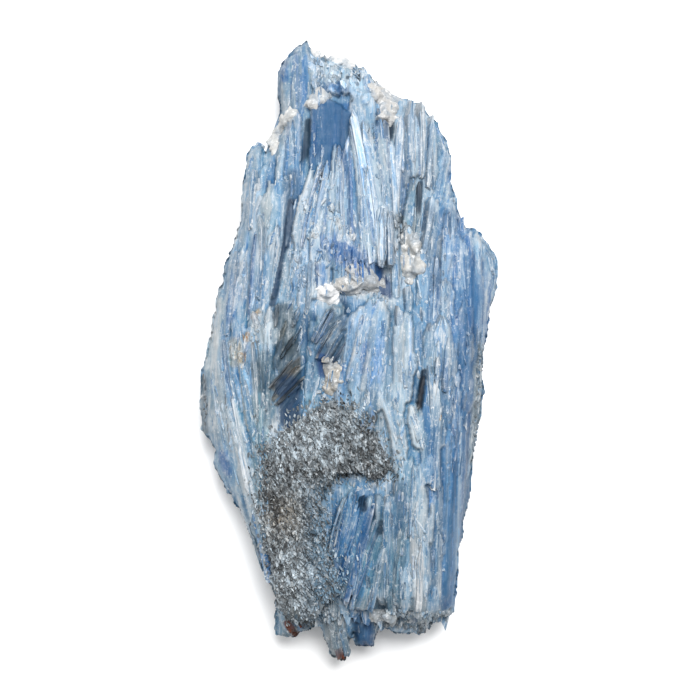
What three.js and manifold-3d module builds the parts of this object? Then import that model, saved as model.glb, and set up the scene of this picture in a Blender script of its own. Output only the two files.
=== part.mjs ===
// Kyanite blade cluster, in millimetres, +Z up. The specimen lies on its flat broken back: X runs across it,
// +Y points to its crown, and the origin is at the middle of the face it rests on, below the centre of its outline.
// One intergrown mass of kyanite blades carries a lens of mica schist and several knots of quartz.
import * as THREE from "three";
import { mergeVertices } from "three/addons/utils/BufferGeometryUtils.js";
import Module from "manifold-3d";

const wasm = await Module();
wasm.setup();

// ---------------------------------------------------------------- driving dimensions
const GAP = 0.35; // clearance between the kyanite and each other mineral set into it
const FACE = 0.72; // share of a blade's width that is its flat face, the rest being its sloping edges
const TIP = 0.7; // share of its width that a blade keeps at its far end
const SLANT = 1.4; // how far a blade's far end is cut out of square, as a share of its width
const ROOT = 3; // how much deeper than its listed thickness each blade is rooted in the mass
const REACH = 80; // larger than the specimen in every direction from its centre
const UP = new THREE.Vector3(0, 0, 1);

// The core that the blades grow from, as cross-sections from foot to crown:
// [y, left x, right x, lowest z, highest z]. What lies under z = 0 is broken off flat.
const CORE_SECTIONS = [
  [-53, -12.5, 17, 6, 13],
  [-49, -13.5, 19.5, 3, 17],
  [-40, -16, 20.5, 0, 20.5],
  [-28, -22.5, 22, -1.5, 23.5],
  [-16, -27, 23.5, -2, 24],
  [-4, -28, 24.5, -2, 24],
  [7, -26, 26, -2, 23],
  [14, -24.5, 27, -1.5, 20],
  [22, -22.5, 24.5, -1.5, 18.5],
  [32, -20, 19, -1, 17],
  [42, -15.5, 17, 1, 15.5],
  [50, -12.5, 10, 3.5, 13.5],
  [56, -12, 1.5, 6, 11.5],
];
const CORE_SIDES = 14;
const CORE_SQUARENESS = 0.95; // exponent of the core's rounded section: 1 is an ellipse, less is boxier

// Blades of the front, region by region. Each row is one blade, from the end nearest the foot to its far end:
// [x, y, z of the face at the foot end,  x, y, z of the face at the far end,  width, thickness]
const CROWN = [
  [-13.4, 30, 15, -13.4, 57.4, 14, 2.2, 8],
  [-12, 28, 17, -11.7, 60.2, 15, 3.2, 9],
  [-10, 26, 18, -9.1, 62.2, 15.5, 3.4, 9],
  [-7, 30, 17.5, -6.4, 58.8, 15, 3.4, 8],
  [-3.2, 22, 18.5, -2.9, 57.9, 15, 6.6, 7],
  [1.8, 24, 18.6, 1.9, 57.4, 14.5, 3.4, 7],
  [3.6, 30, 17, 3.7, 55, 13.5, 2.2, 6],
];
const LEFT_SHOULDER = [
  [-13.5, 16, 19, -12.2, 45.6, 18.5, 3.4, 6],
  [-12, 14, 19.5, -10.4, 47.6, 19, 2.2, 5],
  [-20, 10, 14.5, -18.9, 41, 14, 4, 9],
  [-17.5, 8, 16.5, -16.7, 37.6, 16, 3.2, 8],
  [-26.6, 0, 11, -20, 38.8, 11.5, 1.8, 8],
  [-24.5, 0, 14, -20.3, 33.5, 15, 2.6, 7],
  [-22.5, -2, 16.5, -18.6, 33, 17.5, 2.8, 6],
  [-20.5, -2, 18.5, -16.8, 31.5, 19, 3.2, 6],
  [-18.5, 2, 20, -15, 33, 19.5, 2.6, 6],
  [-17, 4, 20.5, -13.6, 34, 20, 2.4, 6],
  [-15.8, 6, 20, -12.6, 35, 19.6, 2, 6],
  [-26, 0, 13, -23.4, 22.5, 14.5, 2.6, 6],
  [-22.6, 5, 17.8, -20.6, 20.5, 18.8, 3.4, 5],
  [-18.8, 7, 20.8, -17.6, 20.6, 20.8, 2.8, 4],
  [-16.5, 8, 21, -14.8, 24, 20.8, 2.2, 4],
  [-13.5, 6, 17, -10.2, 34, 17.5, 4, 4],
];
const SPRAY = [
  [-9, 10, 22, -7.2, 34.8, 20.5, 1.6, 4],
  [-7.5, 10, 23, -5.4, 36.3, 21, 1.7, 4],
  [-6, 10, 23.5, -4.2, 36.8, 21.2, 1.5, 4],
  [-4.8, 10, 23.5, -2.9, 36.2, 21.4, 1.4, 4],
  [-3.4, 12, 23.8, -1.6, 42.5, 21, 1.6, 4],
  [-2.3, 12, 24, 0.1, 46.2, 20.8, 1.5, 4],
  [-0.8, 12, 24.2, 1.2, 43, 21.2, 1.5, 4],
  [0.6, 12, 24, 2.2, 41, 21.4, 1.4, 4],
  [3.9, 12, 24.5, 3.3, 45.2, 21, 2.3, 4.5],
  [5, 14, 23.5, 5.6, 48.2, 19.5, 2.4, 4],
  [2.6, 12, 23.5, 2.4, 36, 22, 1.3, 3],
  [5.6, 14, 24, 6.3, 42.6, 20.8, 1.8, 4],
  [7.2, 14, 24, 8, 41.2, 20.6, 2.2, 4],
  [7.8, 18, 22, 9.8, 45.2, 19, 2.4, 4],
  [8.6, 20, 21.5, 11.6, 44.8, 19.2, 1.8, 4],
  [9.2, 24, 20.5, 12.6, 43.2, 18.5, 1.4, 3],
];
const RIGHT_SHOULDER = [
  [10.2, 28, 17, 11.2, 50.6, 15, 2.6, 6],
  [12.6, 26, 16.5, 12.9, 50.4, 14.5, 1.8, 6],
  [13.4, 26, 17, 14.2, 50.2, 14.5, 2, 6],
  [15.2, 24, 16, 15.7, 47.6, 14.5, 2.6, 7],
  [17.4, 22, 14.5, 17.6, 46.3, 12.5, 2.8, 8],
  [19.2, 18, 12.5, 19.2, 42.5, 11, 2.6, 8],
  [20, 15, 11, 20, 36, 10, 1.6, 6],
  [12.6, 14, 19.5, 13.4, 41, 17.5, 3.2, 4],
  [15.4, 12, 20, 17.2, 39, 17.8, 2.4, 4],
  [17.6, 12, 19, 18.8, 36, 16, 2.4, 4],
  [11.2, 12, 20, 12.4, 29, 19, 2.8, 3],
  [16, 10, 21.5, 16.9, 29.5, 20, 1.6, 4],
  [18.4, 10, 20, 19.6, 31, 17.5, 2.2, 5],
  [20.6, 8, 18, 21, 30.2, 14.5, 1.8, 6],
  [21.2, 8, 18, 22.4, 27.2, 14, 1.4, 6],
  [14.3, 10, 21, 14.9, 24, 20.5, 1.6, 4],
];
const MIDDLE = [
  [6.6, 16.2, 26.5, 6.7, 27.6, 26, 3.4, 3],
  [4.2, 12, 25, 3.2, 30, 24.2, 1.8, 3],
  [8.8, 10, 23.5, 9, 26, 22.5, 1.4, 3],
  [-9.5, 8, 23, -9, 29, 22, 2, 4],
  [-7.3, 10, 24.5, -6.6, 24.4, 24.3, 1.8, 3],
  [-11.5, 6, 22, -10.2, 19.5, 22, 2.6, 4],
  [-12.6, 5, 21.5, -12, 14.8, 21.5, 1.8, 4],
  [-9.2, 7, 23.5, -8.6, 17, 23.8, 2, 3],
  [-2.6, 12, 25, -2.2, 26.8, 25, 2.4, 3],
  [-0.3, 12, 25, 0, 22.8, 25, 1.8, 3],
  [-4.7, 11, 24.3, -4.4, 21.3, 24.6, 1.8, 3],
  [0.8, 12, 24.6, 1, 20.5, 24.6, 2.4, 3],
  [-1.5, 11, 24.6, -1.4, 20.5, 24.6, 1.4, 3],
  [13.9, -4, 25, 14.2, 21, 23, 2, 5],
  [15.6, -3, 25.5, 16.2, 19, 22.5, 1.6, 5],
  [17.6, -6, 25, 17.6, 15, 23, 2.4, 5],
  [19.6, -8, 24, 19.6, 14, 22, 2.4, 6],
  [11.4, -2, 25.5, 11.2, 12.8, 24, 1.6, 4],
];
const RIGHT_BLOCK = [
  [21.2, -10, 22.5, 21.6, 24.4, 18, 2.2, 7],
  [23.2, -12, 22, 23.4, 25.2, 17, 2.4, 8],
  [25, -10, 21, 25.4, 24.8, 15.5, 2.4, 9],
  [25.6, -6, 18.5, 27.2, 22, 13, 2.4, 8],
  [27.2, 6, 15, 28.6, 19, 11.5, 2, 7],
  [27.8, 8, 13, 29.4, 16.5, 10.5, 1.2, 5],
  [19.2, -51.5, 17, 22, 10, 23, 4.2, 12],
  [18.4, -52.5, 19, 20.4, -5, 25, 4, 10],
  [19.8, -50, 15.5, 24.9, 4, 18, 3, 12],
  [22.8, -26, 16, 25.3, 2, 15, 2.2, 8],
  [24.2, -20, 13, 26, -5, 13, 1.4, 6],
];
const LOWER_FAN = [
  [-1.5, -12, 27, 1.6, 8.5, 28, 3.2, 6],
  [0.8, -14, 28.5, 4, 10.5, 29, 3.4, 6],
  [3.4, -16, 29.5, 6, 11, 29.5, 2.8, 6],
  [5.6, -12, 29, 6.9, 8, 28.8, 1.6, 5],
  [7.6, -14, 26.8, 7.6, 9, 26, 1.4, 4],
  [9.4, -14, 29.5, 9.2, 8.6, 27.8, 2.2, 5],
  [10.2, -12, 30, 9.8, 5, 29.5, 2, 4],
  [11.6, -10, 30, 11.3, 8, 28.5, 2, 4],
  [15.6, -4.5, 29.5, 15.4, 6, 28, 2.4, 4],
  [17.2, -6.8, 29, 17.6, 7, 27, 2.8, 4],
  [19.2, -7, 27.5, 19.4, 4, 26, 2, 4],
  [10.4, -24, 29.6, 8.2, -6, 30, 2.8, 5],
  [9.6, -19, 30.2, 6, -7, 30, 2, 4],
  [13.2, -19, 30, 11.6, -10.5, 30.4, 2, 3],
  [15, -22, 28.5, 13.6, -5, 28, 2, 4],
  [16.6, -18.5, 28.3, 16.4, -7, 28, 1.6, 3],
  [10.4, -52, 22.5, 10.8, -20, 29, 3.2, 6],
  [13.6, -55, 22, 13, -22, 29, 3.2, 6],
  [13.6, -36.5, 27.6, 13.9, -25.5, 28.8, 1.7, 2],
  [16.4, -54, 20.5, 16.6, -20, 28, 3.2, 7],
  [8.2, -53, 22, 7.6, -28, 27.5, 3, 6],
  [5.8, -50, 22.5, 5.8, -27, 27, 2.2, 5],
  [-0.6, -49, 22.5, 3.8, -27, 27, 2.6, 5],
  [-2.6, -45, 23, 1.6, -25.5, 27, 2.8, 5],
  [1.8, -50, 22.5, 5, -29, 27, 2.4, 5],
  [3.8, -52, 21, 4.6, -34, 25.5, 2.2, 5],
];
const LEFT_FAN = [
  [-28.2, -17.6, 10, -28.9, -3.2, 10.5, 2.2, 6],
  [-25.6, -25, 12, -28.2, -2.4, 11.5, 2.4, 6],
  [-22, -30, 15, -27.6, -1, 13, 3, 7],
  [-23.6, -27.5, 12, -26.2, -20.5, 12, 2.2, 5],
  [-19.4, -35, 17.5, -25.4, 0, 17, 3, 7],
  [-17.8, -39, 19, -23.2, 4.2, 20, 3, 7],
  [-16.6, -40, 20.5, -21.4, 6.5, 22, 3, 7],
  [-16.2, -36, 21.5, -19.2, 8.2, 23, 2.8, 6],
  [-16, -30, 22, -17, 6.5, 23.5, 2.6, 6],
  [-14.8, -24, 22.5, -15.2, 8.6, 23.5, 2.2, 6],
  [-17.6, -44, 15, -21.6, -28, 15, 2.6, 6],
  [-14.8, -52, 14, -18.8, -34, 16.5, 2.6, 7],
  [-13, -58, 13, -15.6, -42, 16.5, 3.2, 6],
];
const HOLLOW = [
  [-12.5, -15, 20.5, -12.2, 8, 20, 4.4, 5],
  [-9.6, -15, 21, -9.4, 9, 21, 3, 5],
  [-15.4, -9, 23, -8.2, -0.8, 24, 1.8, 2],
  [-7.4, -16, 26, -6.6, 7.5, 25, 2.8, 5],
  [-3.6, -4, 25.5, -2.4, 9, 25.5, 4.4, 5],
  [-5.2, 0.4, 26.6, -1.4, 5.6, 26.8, 1.2, 1.4],
];
const FOOT = [
  [-1.6, -62, 13, -4.2, -48, 18, 3.6, 5],
  [4, -59.4, 11, 3.4, -48, 17, 2.8, 6],
  [1.6, -58.6, 10, 1.4, -48, 16, 2.6, 5],
  [-9, -56.5, 13, -9.5, -48, 18, 4, 6],
  [13.2, -57, 14, 13, -48, 18, 3, 5],
  [16.2, -56, 13, 16, -48, 17, 2.6, 5],
  [10.5, -55, 15, 10.4, -47, 19, 2.6, 5],
  [18.6, -54, 13, 18.4, -46, 17, 2.6, 5],
];

// Blades of the back and the flanks are strewn round the core: [how many, lowest y, highest y, side], where side
// is the angle round the core at which that row of blades sits, in degrees from +X towards +Z.
const FLANKS = [
  [5, -40, 20, 200],
  [5, -44, 18, 222],
  [4, -46, 20, 318],
  [4, -44, 10, 340],
  [4, -48, 26, 245],
  [4, -48, 26, 295],
];
const FLANK_BLADE = { width: 3.6, thick: 3, length: 26 };

// The mica schist lens: its outline on the front, [x, y], and the heights between which it lies.
const MICA_OUTLINE = [
  [-14, -17], [-10, -14], [-5, -10], [0, -9.5], [3.5, -11], [6, -17], [8, -21], [7.6, -25.4], [3, -26.6],
  [-1, -25], [-4, -26.4], [-5.4, -31], [-4.4, -37], [-3.4, -42], [-2.4, -47], [-5.5, -49.5], [-6.4, -53],
  [-11, -54.4], [-14.6, -51], [-14.2, -45], [-15.6, -40], [-16.8, -34], [-17.6, -28], [-17.4, -21.5],
];
const MICA = { floor: 15, crest: 27.2, x: -5, y: -22, fallLeft: 0.042, fallRight: 0.015, fallY: 0.009, rough: 0.45 };

// Knots of quartz: name, centre [x, y, z] and size [x, y, z].
const QUARTZ = [
  ["quartz_crown", [-4, 58.4, 13.6], [7, 4.4, 5]],
  ["quartz_ridge", [6.4, 49.6, 16], [6.4, 8, 6]],
  ["quartz_shoulder", [-15.4, 42.4, 15.4], [3.8, 8.6, 5]],
  ["quartz_notch", [-8, 48.4, 18.4], [4.4, 4.4, 4]],
  ["quartz_white_knot", [-4.4, 10.6, 26.6], [4.6, 3.4, 4.4]],
  ["quartz_grey_knot", [1.6, 13, 26.4], [6.6, 5.4, 5]],
  ["quartz_pocket", [11.8, 17.6, 23], [3.6, 7.4, 4.6]],
  ["quartz_hollow", [-3.6, -6, 26.4], [3.8, 5, 3.6]],
  ["quartz_heel", [6.6, -54.4, 16.4], [4.6, 5.4, 5]],
];

// ---------------------------------------------------------------- helpers
// The same numbers on every run.
function seededRandom(seed) {
  let state = seed >>> 0;
  return () => {
    state = (state + 0x6d2b79f5) >>> 0;
    let t = Math.imul(state ^ (state >>> 15), 1 | state);
    t = (t + Math.imul(t ^ (t >>> 7), 61 | t)) ^ t;
    return ((t ^ (t >>> 14)) >>> 0) / 4294967296;
  };
}

// Calls change(point, index) on every corner of a geometry, after corners in one place are merged.
function reshaped(geometry, change) {
  const bare = new THREE.BufferGeometry().setAttribute("position", geometry.getAttribute("position"));
  if (geometry.index) bare.setIndex(geometry.index);
  const merged = mergeVertices(bare, 1e-4);
  const position = merged.getAttribute("position");
  const point = new THREE.Vector3();
  for (let i = 0; i < position.count; i++) {
    point.fromBufferAttribute(position, i);
    change(point, i);
    position.setXYZ(i, point.x, point.y, point.z);
  }
  return merged;
}

function solidOf(geometry) {
  const merged = reshaped(geometry, () => {});
  return new wasm.Manifold(
    new wasm.Mesh({
      numProp: 3,
      vertProperties: merged.getAttribute("position").array,
      triVerts: new Uint32Array(merged.index.array),
    }),
  );
}

function geometryOf(solid) {
  const { vertProperties, triVerts } = solid.getMesh();
  const geometry = new THREE.BufferGeometry();
  geometry.setAttribute("position", new THREE.BufferAttribute(vertProperties, 3));
  geometry.setIndex(new THREE.BufferAttribute(triVerts, 1));
  geometry.computeVertexNormals();
  return geometry;
}

// ---------------------------------------------------------------- kyanite
// A lath with sloping edges, flat side up, narrowed and cut to a slant at its far end.
function bladeSolid([x0, y0, z0, x1, y1, z1, width, thick], random) {
  const from = new THREE.Vector3(x0, y0, z0);
  const to = new THREE.Vector3(x1, y1, z1);
  const length = from.distanceTo(to);
  const slant = (random() - 0.5) * width * SLANT;
  const deep = thick + ROOT;
  const lath = new THREE.BoxGeometry(width, length, deep).translate(0, length / 2, -deep / 2);
  const shaped = reshaped(lath, (corner) => {
    if (corner.z > -deep / 2) corner.x *= FACE;
    if (corner.y > length / 2) {
      corner.y += (corner.x * slant) / width;
      corner.x *= TIP;
    }
  });
  const along = to.clone().sub(from).normalize();
  const across = along.clone().cross(UP).normalize();
  const outward = across.clone().cross(along);
  return solidOf(shaped.applyMatrix4(new THREE.Matrix4().makeBasis(across, along, outward).setPosition(from)));
}

// Where the core's skin is at a place along Y and an angle round it, in radians from +X towards +Z.
function coreSkin(y, angle) {
  const next = Math.max(1, CORE_SECTIONS.findIndex((section) => section[0] >= y));
  const [low, high] = [CORE_SECTIONS[next - 1], CORE_SECTIONS[next]];
  const share = (y - low[0]) / (high[0] - low[0]);
  const [left, right, bottom, top] = [1, 2, 3, 4].map((k) => THREE.MathUtils.lerp(low[k], high[k], share));
  const rounded = (value) => Math.sign(value) * Math.abs(value) ** CORE_SQUARENESS;
  return new THREE.Vector3(
    (left + right) / 2 + ((right - left) / 2) * rounded(Math.cos(angle)),
    y,
    (bottom + top) / 2 + ((top - bottom) / 2) * rounded(Math.sin(angle)),
  );
}

function coreSolid() {
  const rows = CORE_SECTIONS.length - 1;
  const drum = new THREE.CylinderGeometry(1, 1, rows, CORE_SIDES, rows);
  const shaped = reshaped(drum, (corner) => {
    const row = Math.round(corner.y + rows / 2);
    const [y, left, right, bottom, top] = CORE_SECTIONS[row];
    if (Math.hypot(corner.x, corner.z) < 0.5) {
      corner.set((left + right) / 2, y, (bottom + top) / 2);
    } else {
      corner.copy(coreSkin(y, Math.atan2(corner.z, corner.x)));
    }
  });
  return solidOf(shaped);
}

function flankRows(random) {
  const rows = [];
  for (const [count, lowest, highest, side] of FLANKS) {
    for (let i = 0; i < count; i++) {
      const y0 = THREE.MathUtils.lerp(lowest, highest, (i + 0.5 * random()) / count) - FLANK_BLADE.length / 3;
      const y1 = y0 + FLANK_BLADE.length * (0.8 + 0.4 * random());
      const angle = THREE.MathUtils.degToRad(side + 14 * (random() - 0.5));
      const [a, b] = [Math.max(y0, -50), Math.min(y1, 50)].map((y) => coreSkin(y, angle));
      const thick = FLANK_BLADE.thick * (0.8 + 0.4 * random());
      rows.push([a.x, y0, a.z + thick * 0.7, b.x, y1, b.z + thick * 0.7, FLANK_BLADE.width, thick]);
    }
  }
  return rows;
}

function kyaniteSolid() {
  const random = seededRandom(11);
  const rows = [
    CROWN, LEFT_SHOULDER, SPRAY, RIGHT_SHOULDER, MIDDLE, RIGHT_BLOCK, LOWER_FAN, LEFT_FAN, HOLLOW, FOOT,
    flankRows(random),
  ].flat();
  const grown = rows.reduce((whole, row) => whole.add(bladeSolid(row, random)), coreSolid());
  const aboveRest = new THREE.BoxGeometry(2 * REACH, 2 * REACH, REACH).translate(0, 0, REACH / 2);
  return grown.intersect(solidOf(aboveRest));
}

// ---------------------------------------------------------------- mica schist and quartz
function outlineSolid(outline, bottom, top, grow) {
  const points = outline.map(([x, y]) => new THREE.Vector2(x, y));
  const clockwise = THREE.ShapeUtils.area(points) < 0;
  const moved = points.map((point, i) => {
    const before = points[(i + points.length - 1) % points.length];
    const after = points[(i + 1) % points.length];
    const normal = after.clone().sub(before).normalize();
    const outward = new THREE.Vector2(normal.y, -normal.x).multiplyScalar(clockwise ? -grow : grow);
    return point.clone().add(outward);
  });
  const prism = new THREE.ExtrudeGeometry(new THREE.Shape(moved), { depth: top - bottom, bevelEnabled: false });
  return solidOf(prism.translate(0, 0, bottom));
}

function micaSolid() {
  const random = seededRandom(23);
  const slab = new THREE.BoxGeometry(30, 50, 2, 14, 22, 1).translate(-5, -32, 0);
  const hummock = reshaped(slab, (corner) => {
    if (corner.z < 0) {
      corner.z = MICA.floor;
      return;
    }
    const fallX = corner.x < MICA.x ? MICA.fallLeft : MICA.fallRight;
    const fall = fallX * (corner.x - MICA.x) ** 2 + MICA.fallY * (corner.y - MICA.y) ** 2;
    corner.z = MICA.crest - fall + (random() - 0.5) * 2 * MICA.rough;
  });
  return solidOf(hummock).intersect(outlineSolid(MICA_OUTLINE, MICA.floor, REACH, 0));
}

// A knobbly lump. grow makes the pocket that it sits in.
function lumpSolid([cx, cy, cz], size, seed, grow = 0) {
  const random = seededRandom(seed);
  const ball = new THREE.IcosahedronGeometry(1, 1);
  const shaped = reshaped(ball, (corner) => {
    corner.multiplyScalar(0.84 + 0.2 * random());
    corner.multiply(new THREE.Vector3(...size.map((side) => side / 2 + grow * 1.6)));
    corner.add(new THREE.Vector3(cx, cy, cz));
  });
  return solidOf(shaped);
}

// ---------------------------------------------------------------- the specimen
function piece(name, solid, colour, roughness) {
  const material = new THREE.MeshStandardMaterial({ color: colour, roughness, metalness: 0 });
  const mesh = new THREE.Mesh(geometryOf(solid), material);
  mesh.name = name;
  return mesh;
}

const cluster = new THREE.Group();
const mica = micaSolid();
const micaPocket = outlineSolid(MICA_OUTLINE, MICA.floor - GAP, REACH, GAP);
let kyanite = kyaniteSolid().subtract(micaPocket);
QUARTZ.forEach(([, centre, size], i) => {
  kyanite = kyanite.subtract(lumpSolid(centre, size, 100 + i, GAP));
});

cluster.add(piece("kyanite_blades", kyanite, 0x7d9fc6, 0.42));
cluster.add(piece("mica_schist", mica, 0x80868a, 0.5));
QUARTZ.forEach(([name, centre, size], i) => {
  cluster.add(piece(name, lumpSolid(centre, size, 100 + i), 0xd9d6cf, 0.55));
});

export default cluster;
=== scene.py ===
"""Kyanite blade cluster, lying on a pale table.

The front is one surface of heights, made by pressing every lath of every sheaf into a grid. Loose laths,
splinters, chips and grains lie on it. The flanks, the back and the broken ends are laths round a smooth mass.
The mica is a patch covered with flakes, and each quartz knot is a heap of broken grains grown together.
The specimen's lengths are in millimetres, and those of the table, lamps and camera in metres.
"""
import math

import bmesh
import bpy
import numpy as np
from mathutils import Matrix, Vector
from mathutils.bvhtree import BVHTree

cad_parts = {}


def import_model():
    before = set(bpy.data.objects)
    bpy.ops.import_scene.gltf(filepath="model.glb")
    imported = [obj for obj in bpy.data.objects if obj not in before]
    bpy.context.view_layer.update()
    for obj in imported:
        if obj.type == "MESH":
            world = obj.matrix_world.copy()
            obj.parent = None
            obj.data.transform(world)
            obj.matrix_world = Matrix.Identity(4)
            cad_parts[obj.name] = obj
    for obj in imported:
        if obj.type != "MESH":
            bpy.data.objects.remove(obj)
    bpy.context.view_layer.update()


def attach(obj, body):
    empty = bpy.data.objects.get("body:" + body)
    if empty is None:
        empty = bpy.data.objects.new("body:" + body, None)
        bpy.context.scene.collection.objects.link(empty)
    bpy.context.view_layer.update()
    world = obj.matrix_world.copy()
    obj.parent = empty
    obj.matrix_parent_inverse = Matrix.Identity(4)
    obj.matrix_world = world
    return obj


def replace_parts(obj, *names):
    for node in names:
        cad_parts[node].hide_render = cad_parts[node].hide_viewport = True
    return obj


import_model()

MM = 0.001  # metres in a millimetre

# ---------------------------------------------------------------- colours
PALE = "b9cce0"
WHITE = "dde5ec"
MID = "93b0d0"
BLUE = "6f97c6"
DEEP = "4e77a3"
VIVID = "3b76b4"
NIGHT = "2f4a6e"
SLATE = "667b8f"
TEAL = "7c9bb0"
GREY_BLUE = "8ea7c0"
GREY = "9aa7b2"
CHARCOAL = "3d444c"
BROWN = "6e665c"
CREAM = "cfc6b4"
RUST = "7a3410"
OCHRE = "c09058"
VIVIDNESS = 1.24  # how much stronger the mineral's own colours are than their look in the light
HUE = np.array([0.93, 1.01, 0.97])  # the whole mineral leans a little to cyan
ALBEDO = 0.485  # share of a colour's brightness that the surface gives back under this scene's light
QUARTZ_ALBEDO = 0.62  # the same share for quartz


def linear(code):
    """A colour code as linear red, green and blue."""
    parts = [int(code[i:i + 2], 16) / 255 for i in (0, 2, 4)]
    return np.array([p / 12.92 if p <= 0.04045 else ((p + 0.055) / 1.055) ** 2.4 for p in parts])


# ---------------------------------------------------------------- the shape of the whole mass, in millimetres
# Cross-sections from foot to crown: [y, left x, right x, lowest z, highest z].
SECTIONS = np.array([
    [-53, -12.5, 17, 6, 13],
    [-49, -13.5, 19.5, 3, 17],
    [-40, -16, 20.5, 0, 20.5],
    [-28, -22.5, 22, -1.5, 23.5],
    [-16, -27, 23.5, -2, 24],
    [-4, -28, 24.5, -2, 24],
    [7, -26, 26, -2, 23],
    [14, -24.5, 27, -1.5, 20],
    [22, -22.5, 24.5, -1.5, 18.5],
    [32, -20, 19, -1, 17],
    [42, -15.5, 17, 1, 15.5],
    [50, -12.5, 10, 3.5, 13.5],
    [56, -12, 1.5, 6, 11.5],
])
SQUARENESS = 0.95  # power that makes the sections a little more than ellipses


def section_at(y):
    """The left and right x, and the lowest and highest z, of the section at a place along Y."""
    return [np.interp(y, SECTIONS[:, 0], SECTIONS[:, k]) for k in (1, 2, 3, 4)]


def skin(y, angle, proud=0.0):
    """Points of the mass's skin at places along Y and angles from +X towards +Z, and the ways out of it."""
    left, right, low, high = section_at(y)
    c, s = np.cos(angle), np.sin(angle)
    a, b = (right - left) / 2 + proud, (high - low) / 2 + proud
    point = np.stack([
        (left + right) / 2 + a * np.sign(c) * np.abs(c) ** SQUARENESS,
        y + 0 * a,
        (low + high) / 2 + b * np.sign(s) * np.abs(s) ** SQUARENESS,
    ], -1)
    outward = np.stack([c / a, 0 * c, s / b], -1)
    return point, outward / np.linalg.norm(outward, axis=-1, keepdims=True)


# The specimen's outline from above, once round from the crown's peak and down its left side first: [x, y].
OUTLINE = np.array([
    [-8.9, 62.3], [-11.2, 60.2], [-13, 58.2], [-14.4, 56], [-14.5, 52], [-14.2, 46.5], [-13.4, 44.5],
    [-14.8, 41.5], [-16.8, 39.6], [-18, 40.9], [-19.8, 40.9], [-21, 38], [-21.3, 33], [-22.2, 26],
    [-23.4, 22], [-24.8, 18], [-26.2, 12], [-27, 8], [-28.6, 0], [-29.6, -4], [-29.9, -9], [-29.8, -16],
    [-28.2, -18], [-27, -20], [-26.9, -24], [-25.2, -28], [-22.4, -32], [-19.6, -38], [-17.4, -42],
    [-16.4, -46], [-15, -50], [-14.8, -57.4], [-11.4, -57.8], [-9.4, -56.6], [-6.6, -55.2], [-5.4, -56.6],
    [-3.4, -61.6], [-1, -62.2], [-0.7, -59.4], [0.8, -56.8], [1.2, -59.3], [4.4, -59.6], [5.4, -57],
    [6.2, -55.2], [8, -56.4], [10.4, -57], [13.2, -57.1], [15.8, -55.7], [16.6, -54.1], [19.4, -53.7],
    [21, -52.5], [21.1, -50], [21.4, -46], [22, -40], [23.4, -32], [24.4, -24], [25.2, -18], [26, -14],
    [26.8, -8], [26.3, -4], [26.8, 0], [28, 6], [28.6, 10], [29.6, 13], [29.8, 16], [29.2, 19],
    [27.4, 22], [25.6, 24], [22.6, 25.2], [21.6, 27.5], [21, 30], [20.2, 35], [20.2, 39], [19.2, 42],
    [17.6, 45.2], [15.6, 47.5], [13.8, 49.6], [12, 50.5], [10, 50.4], [8.6, 49.6], [7, 50], [5.6, 52],
    [4.6, 54.6], [3.4, 56], [0, 57.2], [-3.5, 58.4], [-6.5, 59], [-7.6, 60.5],
])


# ---------------------------------------------------------------- blades of the front
# Each row is a sheaf of laths: [x, y, z of one end, x, y, z of the other, width, colour, colour's share].
CROWN = [
    [-13.4, 30, 14.5, -13.4, 57.2, 13.6, 2.4, GREY_BLUE, 0.3],
    [-12, 28, 16.6, -11.7, 60, 15, 3.2, GREY_BLUE, 0.3],
    [-10, 26, 17.6, -9.2, 62.2, 15.4, 3.2, GREY_BLUE, 0.3],
    [-7.6, 30, 17.6, -7.3, 58.8, 15, 2.2, GREY_BLUE, 0.3],
    [1.6, 24, 18.6, 1.7, 52, 18, 2.6, PALE, 0.2],
    [3.5, 30, 17.6, 3.6, 53, 16.6, 2.6, PALE, 0.2],
    [6.4, 28, 16.6, 6.4, 50, 14.6, 4, MID, 0.3],
]
CROWN_BREAK = [
    [-5.6, 50.6, 18.9, -6.4, 58.6, 14.6, 3.4, PALE, 0.4],
    [-2.8, 50.8, 19, -3, 57.8, 14.2, 4, PALE, 0.4],
    [0.6, 50.6, 18.9, 0.8, 57.4, 14, 4, PALE, 0.4],
    [3, 49, 17.8, 3.4, 55.6, 13.6, 3, PALE, 0.4],
]
LEFT_SHOULDER = [
    [-13.4, 16, 18.6, -12.4, 45.8, 18.2, 3.2, MID, 0.2],
    [-12, 14, 19.4, -10.6, 47.4, 18.8, 2.2, MID, 0.2],
    [-20.4, 10, 14.5, -18.9, 40.9, 14, 3.8, PALE, 0.2],
    [-17.5, 8, 16.5, -16.9, 38.6, 16, 3.2, PALE, 0.2],
    [-26.8, 0, 11, -19.9, 38.6, 11.5, 1.6, PALE, 0.3],
    [-24.5, 0, 14, -20.3, 33.5, 15, 2.6, MID, 0.2],
    [-22.5, -2, 16.5, -18.6, 33, 17.5, 2.8, PALE, 0.2],
    [-20.5, -2, 18.5, -16.8, 31.5, 19, 3.2, MID, 0.2],
    [-18.5, 2, 20, -15, 33, 19.5, 2.6, PALE, 0.3],
    [-17, 4, 20.5, -13.6, 34, 20, 2.4, MID, 0.2],
    [-15.8, 6, 20, -12.6, 35, 19.6, 2, MID, 0.2],
    [-26, 0, 13, -23.4, 22.5, 14.5, 2.6, PALE, 0.2],
    [-22.6, 5, 17.8, -20.6, 20.5, 18.8, 3.4, MID, 0.2],
    [-18.8, 7, 20.8, -17.6, 20.6, 20.8, 2.8, BLUE, 0.2],
    [-16.5, 8, 21, -14.8, 24, 20.8, 2.2, PALE, 0.2],
    [-12.6, 6, 16.6, -10.2, 34, 16.4, 4.4, DEEP, 0.6],
]
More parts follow.
